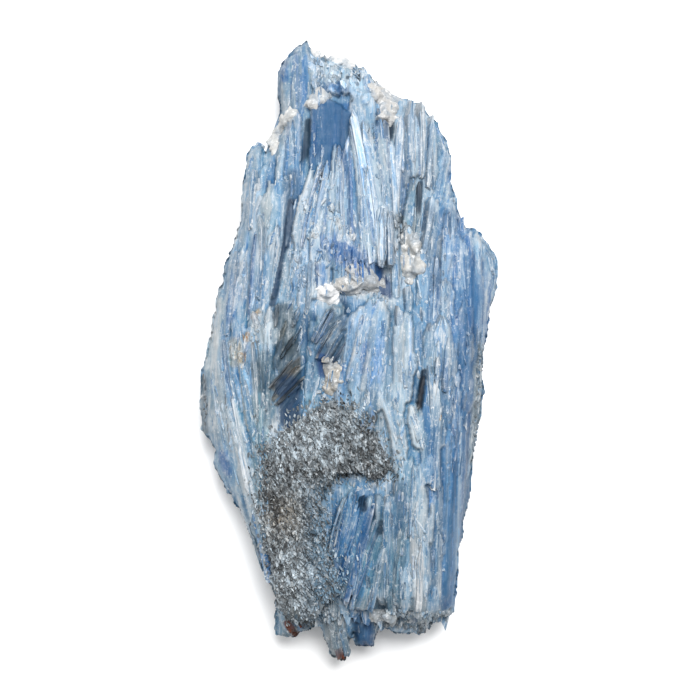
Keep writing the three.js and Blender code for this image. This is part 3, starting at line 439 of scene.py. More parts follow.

# Strokes of colour, laid over the base colour one by one: [x, y, x, y of the ends, radius, colour, strength].
# Most strokes give the mineral's own colours. The near-black ones in crevices, slots, pockets and pits are
# painted shade.
BASE = "9db7d2"
STROKES = [
    [17, 20, 18, 6, 3.4, "7791b0", 0.85],
    [20.4, 27, 20.4, 20, 1.8, "6a86a6", 0.85],
    [20.2, 3, 20, -3, 2, "8aa4bd", 0.8],
    [2, 12, 6, 10, 2.4, "b9c4ce", 0.9],
    [-16.4, -2, -16.2, -13, 2.2, "6a7e8e", 0.9],
    [-8, 6, -8, -3, 2, "5c7690", 0.85],
    [16.4, -28, 16.2, -42, 2.6, "7592ad", 0.85],
    [6, -33, 6, -44, 3.2, "66849c", 0.9],
    [3.6, -28, 3.6, -36, 2, "567490", 0.85],
    [15.8, -12, 16, -22, 2.2, "829cb3", 0.8],
    [0.5, 38, 0.5, 26, 3.4, "9db6d2", 0.85],
    [4, 42, 4, 26, 2.6, "8ca4bd", 0.8],
    [12.6, 40, 12.4, 30, 2.4, "788ea5", 0.8],
    [-20, 33.5, -20, 30, 2.2, "7f9cba", 0.85],
    [-16, 39, -16, 33, 2.4, "7595b7", 0.85],
    [-12.4, 38, -12, 33, 2, "7490a9", 0.85],
    [-8, 22, -8, 12, 3.2, "86a2bf", 0.8],
    [-4, 19, -4, 14, 2.2, "7f9bb8", 0.8],
    [-24.2, 20, -25.4, 11, 1.8, "bdd0e1", 0.85],
    [-12, 48, -10, 61, 4.5, GREY_BLUE, 0.9],
    [-13.3, 58, -13, 54, 0.9, VIVID, 0.7],
    [-9.5, 60, -9.5, 50, 1.2, "7f9cbc", 0.6],
    [-5, 56, 3.5, 54.5, 3.6, "b4c8d9", 0.9],
    [-3, 49.5, -3.8, 40.4, 4.1, "426b98", 0.95],
    [-5.6, 47.5, -5.8, 41, 0.7, "7e9fc4", 0.6],
    [-0.6, 48.6, -0.8, 42, 0.6, "6b92c0", 0.7],
    [-3.4, 50.6, -2.6, 50.4, 1.2, "6e94bf", 0.6],
    [-2.8, 46, -3, 40, 0.35, "5f8abd", 0.7],
    # Painted shade in the groove left of the spray.
    [-8.2, 45, -9.2, 35.5, 0.85, "3b4857", 0.9],
    [-12.6, 46, -12, 34, 2.2, "86a6c6", 0.8],
    [-18.5, 40, -18.5, 36, 3, "a7c1da", 0.9],
    [-19.6, 29, -21, 23, 3.4, "b4c8de", 0.8],
    [-16, 30, -16.2, 22, 2, "c3ced6", 0.8],
    [-21.5, 18, -22, 3, 4.6, "98b3d1", 0.9],
    [-19.4, 20, -20.2, 7, 1, "4f7ebd", 0.7],
    [-22.8, 16, -23.4, 6, 0.8, "5c88c0", 0.6],
    [-26.4, 9, -28, -3, 1.7, "ccd6de", 0.9],
    # Painted shade down the narrow crevice from the left shoulder to the dark zone.
    [-11, 34, -11.8, 24, 1.7, "55718f", 0.9],
    [-11.4, 29, -13.4, 15, 0.9, "2f4058", 0.9],
    [-13.4, 15, -15.2, 9, 0.7, "33435a", 0.85],
    [-7, 35, -4, 24, 3, "c8d6e4", 0.8],
    [-1, 38, -2, 30, 0.9, VIVID, 0.7],
    [2.6, 36, 3, 24, 0.8, VIVID, 0.7],
    [0.4, 42, 0.4, 36, 1.8, "93afcd", 0.6],
    [3.4, 44, 3.6, 30, 1.4, "c3d4e3", 0.8],
    [6.6, 42, 7.6, 28, 1.6, "93a6b9", 0.7],
    [9.4, 44, 8.4, 30, 1.3, "c4d3e2", 0.7],
    [12, 43, 9.5, 32, 0.9, VIVID, 0.7],
    [11.5, 49, 14.5, 42, 3.4, "a9c0da", 0.8],
    [17.5, 44, 19, 34, 3, "9bb6d1", 0.8],
    [13, 41, 12.4, 36, 2.6, "7c99b4", 0.85],
    [13.2, 36, 12.8, 33, 1.2, "bcc7d0", 0.7],
    # Painted shade in a pocket and in two crevices beside the spray and the right shoulder.
    [7.8, 45, 7.5, 42, 0.8, "2f363e", 0.9],
    [11.2, 32, 9.7, 23, 0.65, "2b333c", 0.9],
    [14, 33, 13.4, 27, 0.5, "2a3a4f", 0.85],
    [9, 26, 11, 20, 1.2, "565d64", 0.8],
    [11.8, 31, 11.6, 24, 1.2, "a9bdc8", 0.7],
    [15.8, 28, 15.4, 24, 1, NIGHT, 0.7],
    [18.6, 27, 18.6, 21, 1.2, DEEP, 0.7],
    [22.4, 26, 22.6, 20, 1.6, "6d90bd", 0.6],
    [26.6, 22, 28.8, 14, 2, "9db7d2", 0.8],
    [24.4, 17, 24.6, -6, 2.5, "426b98", 0.9],
    [17.3, 17, 16, 12, 0.9, NIGHT, 0.8],
    [15.4, 8, 15.4, 4, 0.6, NIGHT, 0.8],
    [14.6, 16, 14.6, 6, 1.4, "9fb6cf", 0.6],
    [18.4, 12, 18.6, 4, 1, "a2b9d2", 0.6],
    [20.4, 20, 20.8, 4, 1, "6e92c0", 0.6],
    [21.8, 22, 22, 12, 0.4, "c6d5e3", 0.6],
    [25.4, 21, 25.2, 13.4, 0.5, "a3bcd6", 0.7],
    [23.4, 19, 23.4, 9, 0.35, "7f9fc4", 0.6],
    [27, 11.4, 25.2, 5.6, 0.6, "a4b9cc", 0.6],
    [26, 4.6, 25, -1, 0.5, "b3c4d2", 0.6],
    [6.2, 27, 6.4, 17, 2, "c2d2e4", 0.8],
    [6.4, 15.4, 7, 10.6, 1.3, "2c4570", 0.9],
    [-3, 21, 3.6, 15, 2.6, "5d86bd", 0.75],
    [-9, 28, -9.4, 18, 1.8, "b7cadf", 0.8],
    [-7, 24.6, -7, 21, 1, WHITE, 0.9],
    [-2.6, 27.5, -2.4, 24, 1.4, "cfd8e0", 0.8],
    [0, 23.4, 0.4, 21, 1, WHITE, 0.8],
    [-5.6, 16, -5.4, 13, 1, VIVID, 0.6],
    [-11, 18, -12, 9, 2, "a9bfd4", 0.7],
    [9.6, 4, 10.8, -2, 1.4, WHITE, 0.7],
    [11.2, 6, 11.8, -2, 1.2, "cbd8e6", 0.7],
    [2, 9, 3, -4, 3.4, "93aed0", 0.7],
    [3.2, 1, 2.6, -4, 0.8, "4673b4", 0.6],
    [-0.6, 11.4, 7, 9.4, 0.9, WHITE, 0.7],
    [17.4, 5, 17.6, -5, 2, "bccddf", 0.7],
    # Painted shade in the black slot at the end of the lower fan's blades.
    [14.4, -4.4, 13, -12, 0.9, "14202e", 0.95],
    [16.8, -3, 16.3, -6.4, 0.6, "2a3d55", 0.85],
    [8, -8, 8.6, -22, 3.2, "a3b9cd", 0.8],
    [5.4, -7, 8.6, -18, 0.6, WHITE, 0.8],
    [12.4, -11.5, 13.4, -18.6, 1.2, "d3dfea", 0.8],
    [17.4, -12.6, 17.3, -17, 0.7, "cdbf9f", 0.7],
    [17.4, -13, 17.4, -13.6, 0.5, OCHRE, 0.9],
    [18.8, -6, 19.4, -48, 4.4, "5a80a6", 0.92],
    [22.4, -2, 22.6, -30, 2.6, "50759c", 0.9],
    [19, -10, 18.6, -45, 0.4, "8fb0cf", 0.6],
    [21.4, -8, 21.2, -44, 0.35, "86a9cb", 0.6],
    [17.2, -24, 17, -50, 0.4, "a9c3da", 0.6],
    [20.2, -20, 20, -50, 0.3, "3f6a98", 0.6],
    [20.4, 24, 21.4, 0, 2, "6f8fb6", 0.7],
    [26.6, 14, 26.8, 2, 1.8, "6687ad", 0.8],
    [25.6, 0, 24.8, -22, 1.3, "8b969e", 0.85],
    [24.6, -24, 22.6, -44, 1.2, "7393ad", 0.7],
    [9.5, -29, 9.4, -31.5, 1.3, "3f68a6", 0.8],
    [12, -22, 12, -36, 2, "93adc4", 0.6],
    [14, -27, 14.3, -36, 0.9, "ccdae6", 0.8],
    [16, -29, 15.6, -38, 0.5, WHITE, 0.8],
    [13.4, -38, 13.4, -51, 1.8, "dbe3ea", 0.9],
    [8.4, -28, 8.4, -49, 2.2, "718da3", 0.8],
    [0, -28, -1, -46, 3.8, "4f7ba3", 0.9],
    [3.4, -31, 2.4, -38, 1, "3c628f", 0.7],
    [-1, -41, -1, -44, 1.4, "35597f", 0.8],
    # Painted shade in two small pits.
    [2.8, -29, 2.6, -30.4, 0.9, "24364a", 0.85],
    [6, -33.4, 6, -35, 0.7, "24364a", 0.8],
    [-2.4, 8, -4.4, -2, 2.6, "4d6279", 0.92],
    [-13, 7, -12, 1, 2.5, "56636f", 0.85],
    [-12.4, 1, -11, -6, 2.8, "4a565f", 0.85],
    [-14.5, -7, -8, -1, 1.1, "6b6660", 0.8],
    [-12, -7, -11.6, -13.4, 2.4, "2f4560", 0.95],
    [-8, 0, -7.6, -14, 1.5, "82a6c2", 0.85],
    [-5.6, -1.6, -5.2, -4.4, 1.1, "2b4d80", 0.85],
    [-19, 7, -16, 3, 2.4, "b3bdc4", 0.7],
    [-22.5, 1, -22.6, -2, 1.5, CREAM, 0.8],
    [-18, 7.6, -19, 6.6, 0.6, OCHRE, 0.7],
    [-20, 3, -20.2, 2, 0.6, OCHRE, 0.8],
    [-21.2, -1, -21.4, -2, 0.6, OCHRE, 0.8],
    [-18.2, -3, -17.6, -7, 1.3, "5b636b", 0.7],
    [-27, -6, -25, -16, 2.4, "94a8ba", 0.8],
    [-29.4, -6, -29, -16, 0.9, "6f757a", 0.7],
    [-22.4, -12, -21, -27, 1.7, "cfdae3", 0.9],
    [-18.4, -10, -17.4, -34, 1.5, "8199a6", 0.85],
    [-25.2, -21, -24.4, -24, 1.1, "4d7cb8", 0.7],
    [-18.6, -33, -16, -46, 1.6, "7f97a8", 0.7],
    [-13.6, -53, -13.4, -57, 1.8, "93a6b5", 0.8],
    [-12.4, -54.6, -10.8, -57.2, 0.9, RUST, 0.9],
    [-10, -54.4, -9.6, -55, 0.6, RUST, 0.8],
    [-9, -52, -8, -56, 1.8, "747a7d", 0.7],
    [-4.6, -50, -1.8, -61, 2.2, "7a858c", 0.85],
    [-1, -61.2, -1.4, -62, 0.5, RUST, 0.9],
    [2, -53, 3.6, -59, 2.2, "45668c", 0.9],
    [0.3, 49.6, 0.3, 49.2, 0.4, "1c2530", 0.95],
    [-0.5, 54.1, -0.5, 53.8, 0.35, "2c3d50", 0.9],
    [7, -50, 10, -53.6, 2, "50626f", 0.7],
    [12, -53, 15, -55, 1.6, "a4abae", 0.7],
    [16, -53, 19, -53, 1.6, "8fa3b0", 0.7],
    [-6, 49.6, -0.5, 49.8, 1, "8fa9c4", 0.8],
    [-4, 30, -4, 26, 1.8, "7f9bb8", 0.6],
    [1.5, 30, 2.5, 26, 1.8, "b4c6d8", 0.5],
    [-2, 19.4, 3.4, 15.6, 2.3, "3f6ca4", 0.85],
    [-8, 21, -8, 14, 1.8, "7595b8", 0.7],
    [8, 22, 8, 15, 1.5, "b9c8d8", 0.7],
    [16, 26, 16.4, 14, 1.5, "66829f", 0.6],
    [12.4, 41, 12, 34, 1.8, "73889e", 0.6],
    [16.4, 41, 16.2, 34, 1.6, "8298ae", 0.6],
    [-1, 12.6, 3, 11.6, 1.4, "d5dade", 0.8],
    [-4.8, 9.6, -2.6, 8, 1.4, "c0ccd6", 0.8],
    [-20, 21, -20.6, 7, 1.8, "bccde0", 0.7],
    [-12, 6, -11.4, 3, 1.8, "7f8b95", 0.6],
    [-4, 6, -3.6, 3, 1.8, "7f95aa", 0.6],
    [8, 8, 8, 0, 1.2, "7f97af", 0.7],
    [-8, 2, -8, -7, 1.5, "4f6f90", 0.7],
    [12, -2, 12, -9, 1.2, "6f87a0", 0.7],
    [16.2, -2, 16.4, -14, 1.3, "bac9d7", 0.8],
    [20, 0, 20, -8, 1.1, "9db3c9", 0.5],
    [24, 3, 24, -2, 1.6, "567290", 0.6],
    [3.6, -9, 4.4, -13, 1.8, "6d8292", 0.6],
    [16, -19, 16.4, -26, 1.6, "5f7fa2", 0.6],
    [-0.4, -27, 0, -33, 1.6, "84a3bb", 0.8],
    [8, -30, 8.4, -35, 1.6, "54728f", 0.7],
    [16, -28, 16.2, -48, 1.8, "6786a4", 0.8],
    [-4.4, 38.4, -3, 33, 1.8, "b4c9df", 0.5],
    [12.4, 48.6, 13.4, 41, 1.9, "cfdce9", 0.5],
    [15, 50, 16.4, 42, 1.8, "dbe5ee", 0.5],
    [8.4, 39, 9.2, 30, 1.6, "7f9cc0", 0.35],
    [11.4, 37, 11, 27, 1.0, "5d7da4", 0.5],
    [9.2, 17, 9.3, 11, 0.9, "a9bccd", 0.5],
    [-1.4, -3, -2, -8, 1.6, "4f7098", 0.4],
    [9.2, -27, 9, -33, 2.2, "5f82a6", 0.5],
    [15, -34, 15, -40, 1.8, "7fa0bf", 0.4],
    [-3, -3.4, -2.6, -8.6, 2.2, "6c8fb3", 0.35],
    [3, -26.4, 6, -30, 1.6, "6d97bd", 0.4],
    [13.1, -30, 13.3, -50, 1.1, "e3eaf1", 0.55],
    [-22.2, -19.4, -20.4, -27, 1.2, "dce5ee", 0.6],
    [-19.4, -31, -17.8, -35, 1, "d3dde8", 0.5],
    [-25.6, -12.4, -23.6, -17.4, 1.3, "d0dbe6", 0.5],
    [-16.6, -38, -15.6, -46, 1.4, "c3d0dc", 0.45],
    [-20, 27, -21, 21, 1.8, "c0d0e0", 0.45],
    [-12.4, 45, -13.4, 39, 1.6, "c3d2e2", 0.4],
    [21.2, 6, 21.8, -18, 2.2, "587da6", 0.35],
    [-5.9, 36, -5.6, 29, 1.1, "dfe8f1", 0.55],
    [-8.6, 27.4, -8.4, 22.7, 1.3, "dde6ee", 0.55],
    [-2, 26.6, -1.8, 22, 1.2, "d9e3ec", 0.5],
    [6.9, 27, 7, 17, 1.1, "d5e0ea", 0.5],
    # Painted shade in the dark pocket beside the spray.
    [8.2, 44.6, 7.8, 41.6, 0.8, "2f3c4c", 0.7],
]


def smooth(x):
    """A smooth step from 0 to 1."""
    x = np.clip(x, 0, 1)
    return x * x * (3 - 2 * x)


def mineral(colour):
    """The mineral's own colour where it looks like this in the light."""
    grey = colour.mean(-1, keepdims=True)
    most, least = colour.max(-1, keepdims=True), colour.min(-1, keepdims=True)
    strong = np.clip(2.2 * (most - least) / most, 0, 1)
    return np.clip(grey + VIVIDNESS * (colour - grey), 0.01, 1) * (1 + (HUE - 1) * strong)


def from_line(xy, start, end):
    """Distance of points from a straight line between two ends."""
    line = end - start
    along = np.clip((xy - start) @ line / max(line @ line, 1e-6), 0, 1)
    return np.linalg.norm(xy - start - along[:, None] * line, axis=1)


def painted(points):
    """The front's colour at each [x, y, ...] point, with the painted shade of the dark strokes."""
    colour = np.tile(linear(BASE), (len(points), 1))
    xy = points[:, :2]
    for x0, y0, x1, y1, radius, code, strength in STROKES:
        distance = from_line(xy, np.array([x0, y0]), np.array([x1, y1]))
        share = strength * smooth((1.25 - distance / radius) / 0.6)
        colour += share[:, None] * (linear(code) - colour)
    return mineral(colour)


# ---------------------------------------------------------------- laths
# Where along its length a lath has rings of points, as shares of it.
RINGS = np.array([0, 0.05, 0.23, 0.41, 0.59, 0.77, 0.94, 1.0])
# A lath's section, starting at the middle of its hidden underside: [across, height], 0 is its face.
SECTION = np.array([
    [0, -1], [-0.5, -0.95], [-0.5, -0.16], [-0.42, -0.03], [-0.1, 0],
    [0.16, 0], [0.42, -0.04], [0.5, -0.2], [0.5, -0.95],
])


def laths(rng, start, end, outward, width, thick, tone, share, point=0.85):
    """Vertices, faces and attributes of many laths, each given by its ends, outward side, size and colour."""
    n, rings, corners = len(start), len(RINGS), len(SECTION)
    span = end - start
    length = np.linalg.norm(span, axis=1)
    along = span / length[:, None]
    across = np.cross(along, outward)
    across /= np.linalg.norm(across, axis=1)[:, None]
    up = np.cross(across, along)

    s = np.tile(RINGS, (n, 1))
    s[:, 2:-2] += rng.uniform(-0.06, 0.06, (n, rings - 4))
    taper = np.ones((n, rings))
    taper[:, -1] = rng.uniform(0.08, point, n)
    taper[:, 0] = rng.uniform(0.3, 1, n)
    shoulder = np.minimum(1.8 * width / length, 0.35)
    s[:, 1] = shoulder * rng.uniform(0.3, 1.2, n)
    s[:, -2] = 1 - shoulder * rng.uniform(0.3, 1.6, n)
    grow = rng.uniform(-0.25, 0.25, n)
    wide = width[:, None] * taper * (1 + grow[:, None] * (s - 0.5)) * rng.uniform(0.92, 1.07, (n, rings))
    section = np.tile(SECTION, (n, 1, 1))
    section[:, 3:7, 1] += rng.uniform(-0.1, 0.1, (n, 4))
    section[:, 4:6, 0] += rng.uniform(-0.12, 0.12, (n, 1))

    u = section[:, None, :, 0] * wide[:, :, None]
    h = section[:, None, :, 1] * (thick[:, None] * np.ones((n, rings)))[:, :, None]
    h[:, -1, 3:7] -= 0.25 * thick[:, None] * rng.uniform(0, 1, (n, 4))
    h[:, 0, 3:7] -= 0.25 * thick[:, None] * rng.uniform(0, 1, (n, 4))
    v = s[:, :, None] * length[:, None, None] + np.zeros((n, rings, corners))
    slant = rng.normal(0, 0.9, (n, 2))
    v[:, 0] += slant[:, :1] * u[:, 0]
    v[:, -1] += slant[:, 1:] * u[:, -1]
    v[:, [0, -1]] += rng.normal(0, 0.12, (n, 2, corners))
    bow = rng.normal(0, 0.012, (n, 2)) * length[:, None]
    curve = 4 * s * (1 - s)
    ragged = rng.normal(0, 0.05, (n, rings)) * width[:, None]
    u = u + (bow[:, :1] * curve + ragged)[:, :, None]
    wobble = rng.normal(0, 0.03, (n, rings, corners, 3))
    points = (
        start[:, None, None, :]
        + v[..., None] * along[:, None, None, :]
        + u[..., None] * across[:, None, None, :]
        + h[..., None] * up[:, None, None, :]
        + wobble
    )

    edge = np.linalg.norm(np.diff(SECTION, axis=0, append=SECTION[:1]), axis=1)
    round_it = np.concatenate([[0], np.cumsum(edge)[:-1]])
    lath = np.stack([
        round_it[None, None, :] * width[:, None, None] + rng.uniform(0, 90, n)[:, None, None] + 0 * v,
        v + rng.uniform(0, 400, n)[:, None, None],
        np.tile(rng.uniform(0, 60, n)[:, None, None], (1, rings, corners)),
    ], -1)
    near_end = np.minimum(v, length[:, None, None] - v)
    whitened = np.exp(-np.clip(near_end, 0, None) / 0.7)
    whitened = whitened * np.clip(rng.uniform(-0.9, 1, n), 0, 1)[:, None, None]
    whitened[:, :, [3, 6]] += 0.3 * np.clip(rng.uniform(-0.5, 1, (n, 1, 2)), 0, 1)
    shade = np.exp(rng.normal(-0.02, 0.16, n))[:, None, None] * np.ones((n, rings, corners))

    centre = start[:, None, :] + s[:, :, None] * span[:, None, :]
    sampled = centre + rng.normal(0, 0.35, (n, 1, 3))
    region = painted(sampled.reshape(-1, 3)).reshape(n, rings, 1, 3)
    lighter = tone.sum(1)[:, None, None, None] > region.sum(3, keepdims=True)
    allowed = np.where(lighter, np.clip(region.sum(3, keepdims=True) / 1.2, 0, 1) ** 1.5, 1)
    colour = region + 0.6 * allowed * share[:, None, None, None] * (tone[:, None, None, :] - region)
    colour = colour * shade[..., None] * ALBEDO

    first = (np.arange(n) * rings * corners)[:, None, None]
    ring = (np.arange(rings - 1) * corners)[None, :, None]
    k = np.arange(corners)[None, None, :]
    k2 = (k + 1) % corners
    here = first + ring
    quads = np.stack([here + k, here + corners + k, here + corners + k2, here + k2], -1)
    foot = first[:, 0] + np.arange(corners)[None, :]
    tip = first[:, 0] + (rings - 1) * corners + np.arange(corners)[None, ::-1]
    return {
        "points": points.reshape(-1, 3),
        "faces": quads.reshape(-1, 4).tolist() + foot.tolist() + tip.tolist(),
        "tint": colour.reshape(-1, 3),
        "lath": lath.reshape(-1, 3),
        "frost": whitened.reshape(-1),
    }


def lean(points):
    """The way the skin faces at points of the front: up, leaning out towards the sides."""
    left, right, _, _ = section_at(points[:, 1])
    side = (points[:, 0] - (left + right) / 2) / ((right - left) / 2)
    out = np.stack([0.75 * side ** 3, 0 * side, np.ones_like(side)], -1)
    return out / np.linalg.norm(out, axis=1)[:, None]


def split(rng, rows, pitch=1.8, piece=20.0, lift=0.5, depth=2.6, top=0.8, ragged=0.05, splay=0.03):
    """Every sheaf as laths: one broad face, long laths side by side on it, and shorter ones strewn on top."""
    out = {key: [] for key in ("start", "end", "width", "thick", "tone", "share", "row")}

    def add(start, end, width, thick, tone, share):
        for key, value in zip(out, (start, end, width, thick, tone, share, row)):
            out[key].append(value)

    for row, (x0, y0, z0, x1, y1, z1, wide, code, share) in enumerate(rows):
        a, b = np.array([x0, y0, z0], float), np.array([x1, y1, z1], float)
        length = np.linalg.norm(b - a)
        axis = (b - a) / length
        side = np.cross(axis, lean(((a + b) / 2)[None])[0])
        side /= np.linalg.norm(side)
        up = np.cross(side, axis)
        tone = linear(code)
        add(a - 0.6 * up, b - axis * rng.uniform(0.5, 2) - 0.6 * up, wide * 1.1, depth * 1.6, tone, share)

        def lay(bottom, high, u, rise, width):
            sink = rng.uniform(0.3, 1.1) * lift * 2
            twist = rng.normal(0, splay) * (high - bottom) / 2
            start = a + axis * bottom + side * (u - twist) + up * (rise - sink)
            end = a + axis * high + side * (u + twist) + up * rise
            mine = np.clip(share + rng.normal(0, 0.15), 0, 1)
            add(start, end, width, depth * rng.uniform(0.7, 1.2), tone, mine)

        count = max(1, round(wide / pitch))
        for i in range(count):
            u = ((i + 0.5 + rng.uniform(-0.4, 0.4)) / count - 0.5) * wide * 0.9
            high = length * (1 - abs(rng.normal(0, ragged)))
            rise = rng.uniform(-lift, 0)
            while high > 2:
                bottom = max(high - piece * rng.uniform(0.6, 2), 0)
                lay(max(bottom - 2, 0), high, u, rise, wide / count * rng.uniform(0.7, 1.5))
                high = bottom
                rise += rng.uniform(0, lift) * 0.6
        for _ in range(round(count * top * max(1, length / piece))):
            u = rng.uniform(-0.5, 0.5) * wide
            high = rng.uniform(0.15, 1) * length
            bottom = max(high - piece * rng.uniform(0.15, 0.8), 0)
            lay(bottom, high, u, rng.uniform(0, lift), wide / count * rng.uniform(0.2, 0.8))
    return {key: np.array(value, float) for key, value in out.items()}


def tones(rng, codes, count):
    """As many colours as asked for, each picked at random."""
    return np.stack([linear(rng.choice(codes)) for _ in range(count)])


def varied(rng, tone, share):
    """Some laths paler, some a stronger blue."""
    luck = rng.uniform(0, 1, len(share))
    tone = tone.copy()
    share = share.copy()
    pale = luck < 0.14
    vivid = luck > 0.88
    tone[pale] = linear(WHITE)
    share[pale] = rng.uniform(0.2, 0.5, pale.sum())
    tone[vivid] = linear(VIVID)
    share[vivid] = rng.uniform(0.2, 0.55, vivid.sum())
    return tone, share


# ---------------------------------------------------------------- meshes
laid = []  # points and faces of every piece so far, to lay later ones on
grown = []  # search trees built from them, each with the number of pieces in it


def unfrosted(points, faces, tint, lath):
    """What make() needs for a piece that is not frosted anywhere."""
    return {"points": points, "faces": faces, "tint": tint, "lath": lath, "frost": np.zeros(len(points))}


def merged(parts):
    """Several parts as one."""
    faces, offset = [], 0
    for part in parts:
        faces += [[i + offset for i in face] for face in part["faces"]]
        offset += len(part["points"])
    whole = {key: np.concatenate([p[key] for p in parts]) for key in ("points", "tint", "lath", "frost")}
    whole["faces"] = faces
    return whole


def make(name, data, material, flat=True):
    """A mesh object of the frame's root body, from points in millimetres."""
    mesh = bpy.data.meshes.new(name)
    points = data["points"].copy()
    points[:, 2] = np.maximum(points[:, 2], 0)
    mesh.from_pydata((points * MM).tolist(), [], data["faces"])
    tint = mesh.attributes.new("tint", "FLOAT_COLOR", "POINT")
    lined = data.get("plain", np.ones(len(points)))[:, None]
    four = np.concatenate([np.clip(data["tint"], 0.002, 1), lined], 1)
    tint.data.foreach_set("color", four.astype(np.float32).ravel())
    lath = mesh.attributes.new("lath", "FLOAT_VECTOR", "POINT")
    lath.data.foreach_set("vector", data["lath"].astype(np.float32).ravel())
    frost = mesh.attributes.new("frost", "FLOAT", "POINT")
    frost.data.foreach_set("value", np.clip(data["frost"], 0, 1).astype(np.float32))
    mesh.polygons.foreach_set("use_smooth", [not flat] * len(mesh.polygons))
    mesh.materials.append(material)
    mesh.update()
    piece = bpy.data.objects.new(name, mesh)
    bpy.context.scene.collection.objects.link(piece)
    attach(piece, "root")
    laid.append((points, data["faces"]))
    return piece


# ---------------------------------------------------------------- materials
class Nodes:
    """Short calls for building one material's node tree."""

    def __init__(self, name):
        self.material = bpy.data.materials.new(name)
        self.material.use_nodes = True
        self.tree = self.material.node_tree
        self.shader = self.tree.nodes["Principled BSDF"]

    def node(self, kind, **settings):
        made = self.tree.nodes.new(kind)
        for key, value in settings.items():
            setattr(made, key, value)
        return made

    def put(self, socket, value):
        if isinstance(value, bpy.types.NodeSocket):
            self.tree.links.new(value, socket)
        else:
            socket.default_value = value

    def attribute(self, name):
        return self.node("ShaderNodeAttribute", attribute_name=name)

    def math(self, operation, a, b=0.0, clamp=False):
        made = self.node("ShaderNodeMath", operation=operation, use_clamp=clamp)
        self.put(made.inputs[0], a)
        self.put(made.inputs[1], b)
        return made.outputs[0]

    def times(self, a, b, clamp=False):
        return self.math("MULTIPLY", a, b, clamp)

    def scaled(self, vector, scale):
        made = self.node("ShaderNodeVectorMath", operation="MULTIPLY")
        self.put(made.inputs[0], vector)
        made.inputs[1].default_value = scale
        return made.outputs[0]

    def noise(self, vector, scale=1.0, detail=3.0, roughness=0.55):
        made = self.node("ShaderNodeTexNoise")
        self.put(made.inputs["Vector"], vector)
        made.inputs["Scale"].default_value = scale
        made.inputs["Detail"].default_value = detail
        made.inputs["Roughness"].default_value = roughness
        return made.outputs["Fac"]

    def ramp(self, value, low, high):
        made = self.node("ShaderNodeMapRange", interpolation_type="SMOOTHSTEP")
        self.put(made.inputs["Value"], value)
        made.inputs["From Min"].default_value = low
        made.inputs["From Max"].default_value = high
        return made.outputs["Result"]

    def grey(self, colour):
        made = self.node("ShaderNodeRGBToBW")
        self.put(made.inputs[0], colour)
        return made.outputs[0]

    def mix(self, share, a, b, blend="MIX"):
        made = self.node("ShaderNodeMix", data_type="RGBA", blend_type=blend)
        self.put(made.inputs["Factor"], share)
        self.put(made.inputs["A"], a)
        self.put(made.inputs["B"], b)
        return made.outputs["Result"]

    def bump(self, height, strength, distance):
        made = self.node("ShaderNodeBump")
        made.inputs["Strength"].default_value = strength
        made.inputs["Distance"].default_value = distance
        self.put(made.inputs["Height"], height)
        return made.outputs["Normal"]


def rgba(code, factor=1.0):
    """A colour code as a node's colour, made darker by a factor."""
    return (*(linear(code) * factor), 1.0)


def kyanite_material(name, streaks=1.0):
    """Blue mineral, striped along each lath by fine lines, frosted white where it is broken."""
    m = Nodes(name)
    lath = m.attribute("lath").outputs["Vector"]
    place = m.node("ShaderNodeTexCoord").outputs["Object"]
    painted_on = m.attribute("tint")
    tint = painted_on.outputs["Color"]
    streaky = m.times(painted_on.outputs["Alpha"], streaks)
    frost = m.attribute("frost").outputs["Fac"]
    fine = m.noise(m.scaled(lath, (2.8, 0.17, 1)), detail=5, roughness=0.7)
    hair = m.noise(m.scaled(lath, (6.5, 0.6, 1)), detail=3, roughness=0.7)
    broad = m.noise(m.scaled(lath, (0.9, 0.06, 1)), detail=3, roughness=0.6)
    cloud = m.noise(place, scale=420, detail=3)
    fleck = m.noise(place, scale=1500, detail=2, roughness=0.6)
    patch = m.noise(m.scaled(lath, (0.9, 0.3, 1)), detail=6, roughness=0.75)
    cleft = m.noise(m.scaled(lath, (0.7, 1.3, 1)), detail=5, roughness=0.75)

    bright = m.times(m.ramp(m.grey(tint), 0.01, 0.22), streaky)
    bluer = m.times(m.ramp(broad, 0.5, 0.6), m.times(streaky, 0.7))
    colour = m.mix(bluer, tint, (0.4, 0.7, 0.96, 1), "MULTIPLY")
    for value, low, high, share, pale in (
        (patch, 0.52, 0.64, 0.75, "e2e7ea"),
        (fine, 0.54, 0.64, 0.7, "f0f2f3"),
        (hair, 0.56, 0.7, 0.6, "f0f2f3"),
        (cleft, 0.56, 0.66, 0.5, "e8ebec"),
        (fleck, 0.6, 0.68, 0.8, "f0f2f3"),
    ):
        paler = m.times(m.ramp(value, low, high), m.times(bright, share))
        colour = m.mix(paler, colour, rgba(pale, 0.6))
    for value, high, low, share, dark in (
        (fine, 0.48, 0.38, 0.75, (0.3, 0.5, 0.68, 1)),
        (hair, 0.44, 0.34, 0.6, (0.4, 0.52, 0.66, 1)),
        (cleft, 0.42, 0.34, 0.5, (0.35, 0.5, 0.65, 1)),
    ):
        darker = m.times(m.ramp(value, high, low), m.times(streaky, share))
        colour = m.mix(darker, colour, dark, "MULTIPLY")
    broken = m.times(frost, m.ramp(cloud, 0.36, 0.6), clamp=True)
    colour = m.mix(broken, colour, rgba("eceff0", 0.62))
    m.put(m.shader.inputs["Base Color"], colour)
    m.put(m.shader.inputs["Roughness"], m.math("ADD", 0.45, m.times(cloud, 0.3)))
    m.shader.inputs["Specular IOR Level"].default_value = 0.25
    height = m.math("ADD", m.times(fine, 0.7), m.times(cleft, 0.3))
    m.put(m.shader.inputs["Normal"], m.bump(height, 0.4, 0.00025))
    return m.material


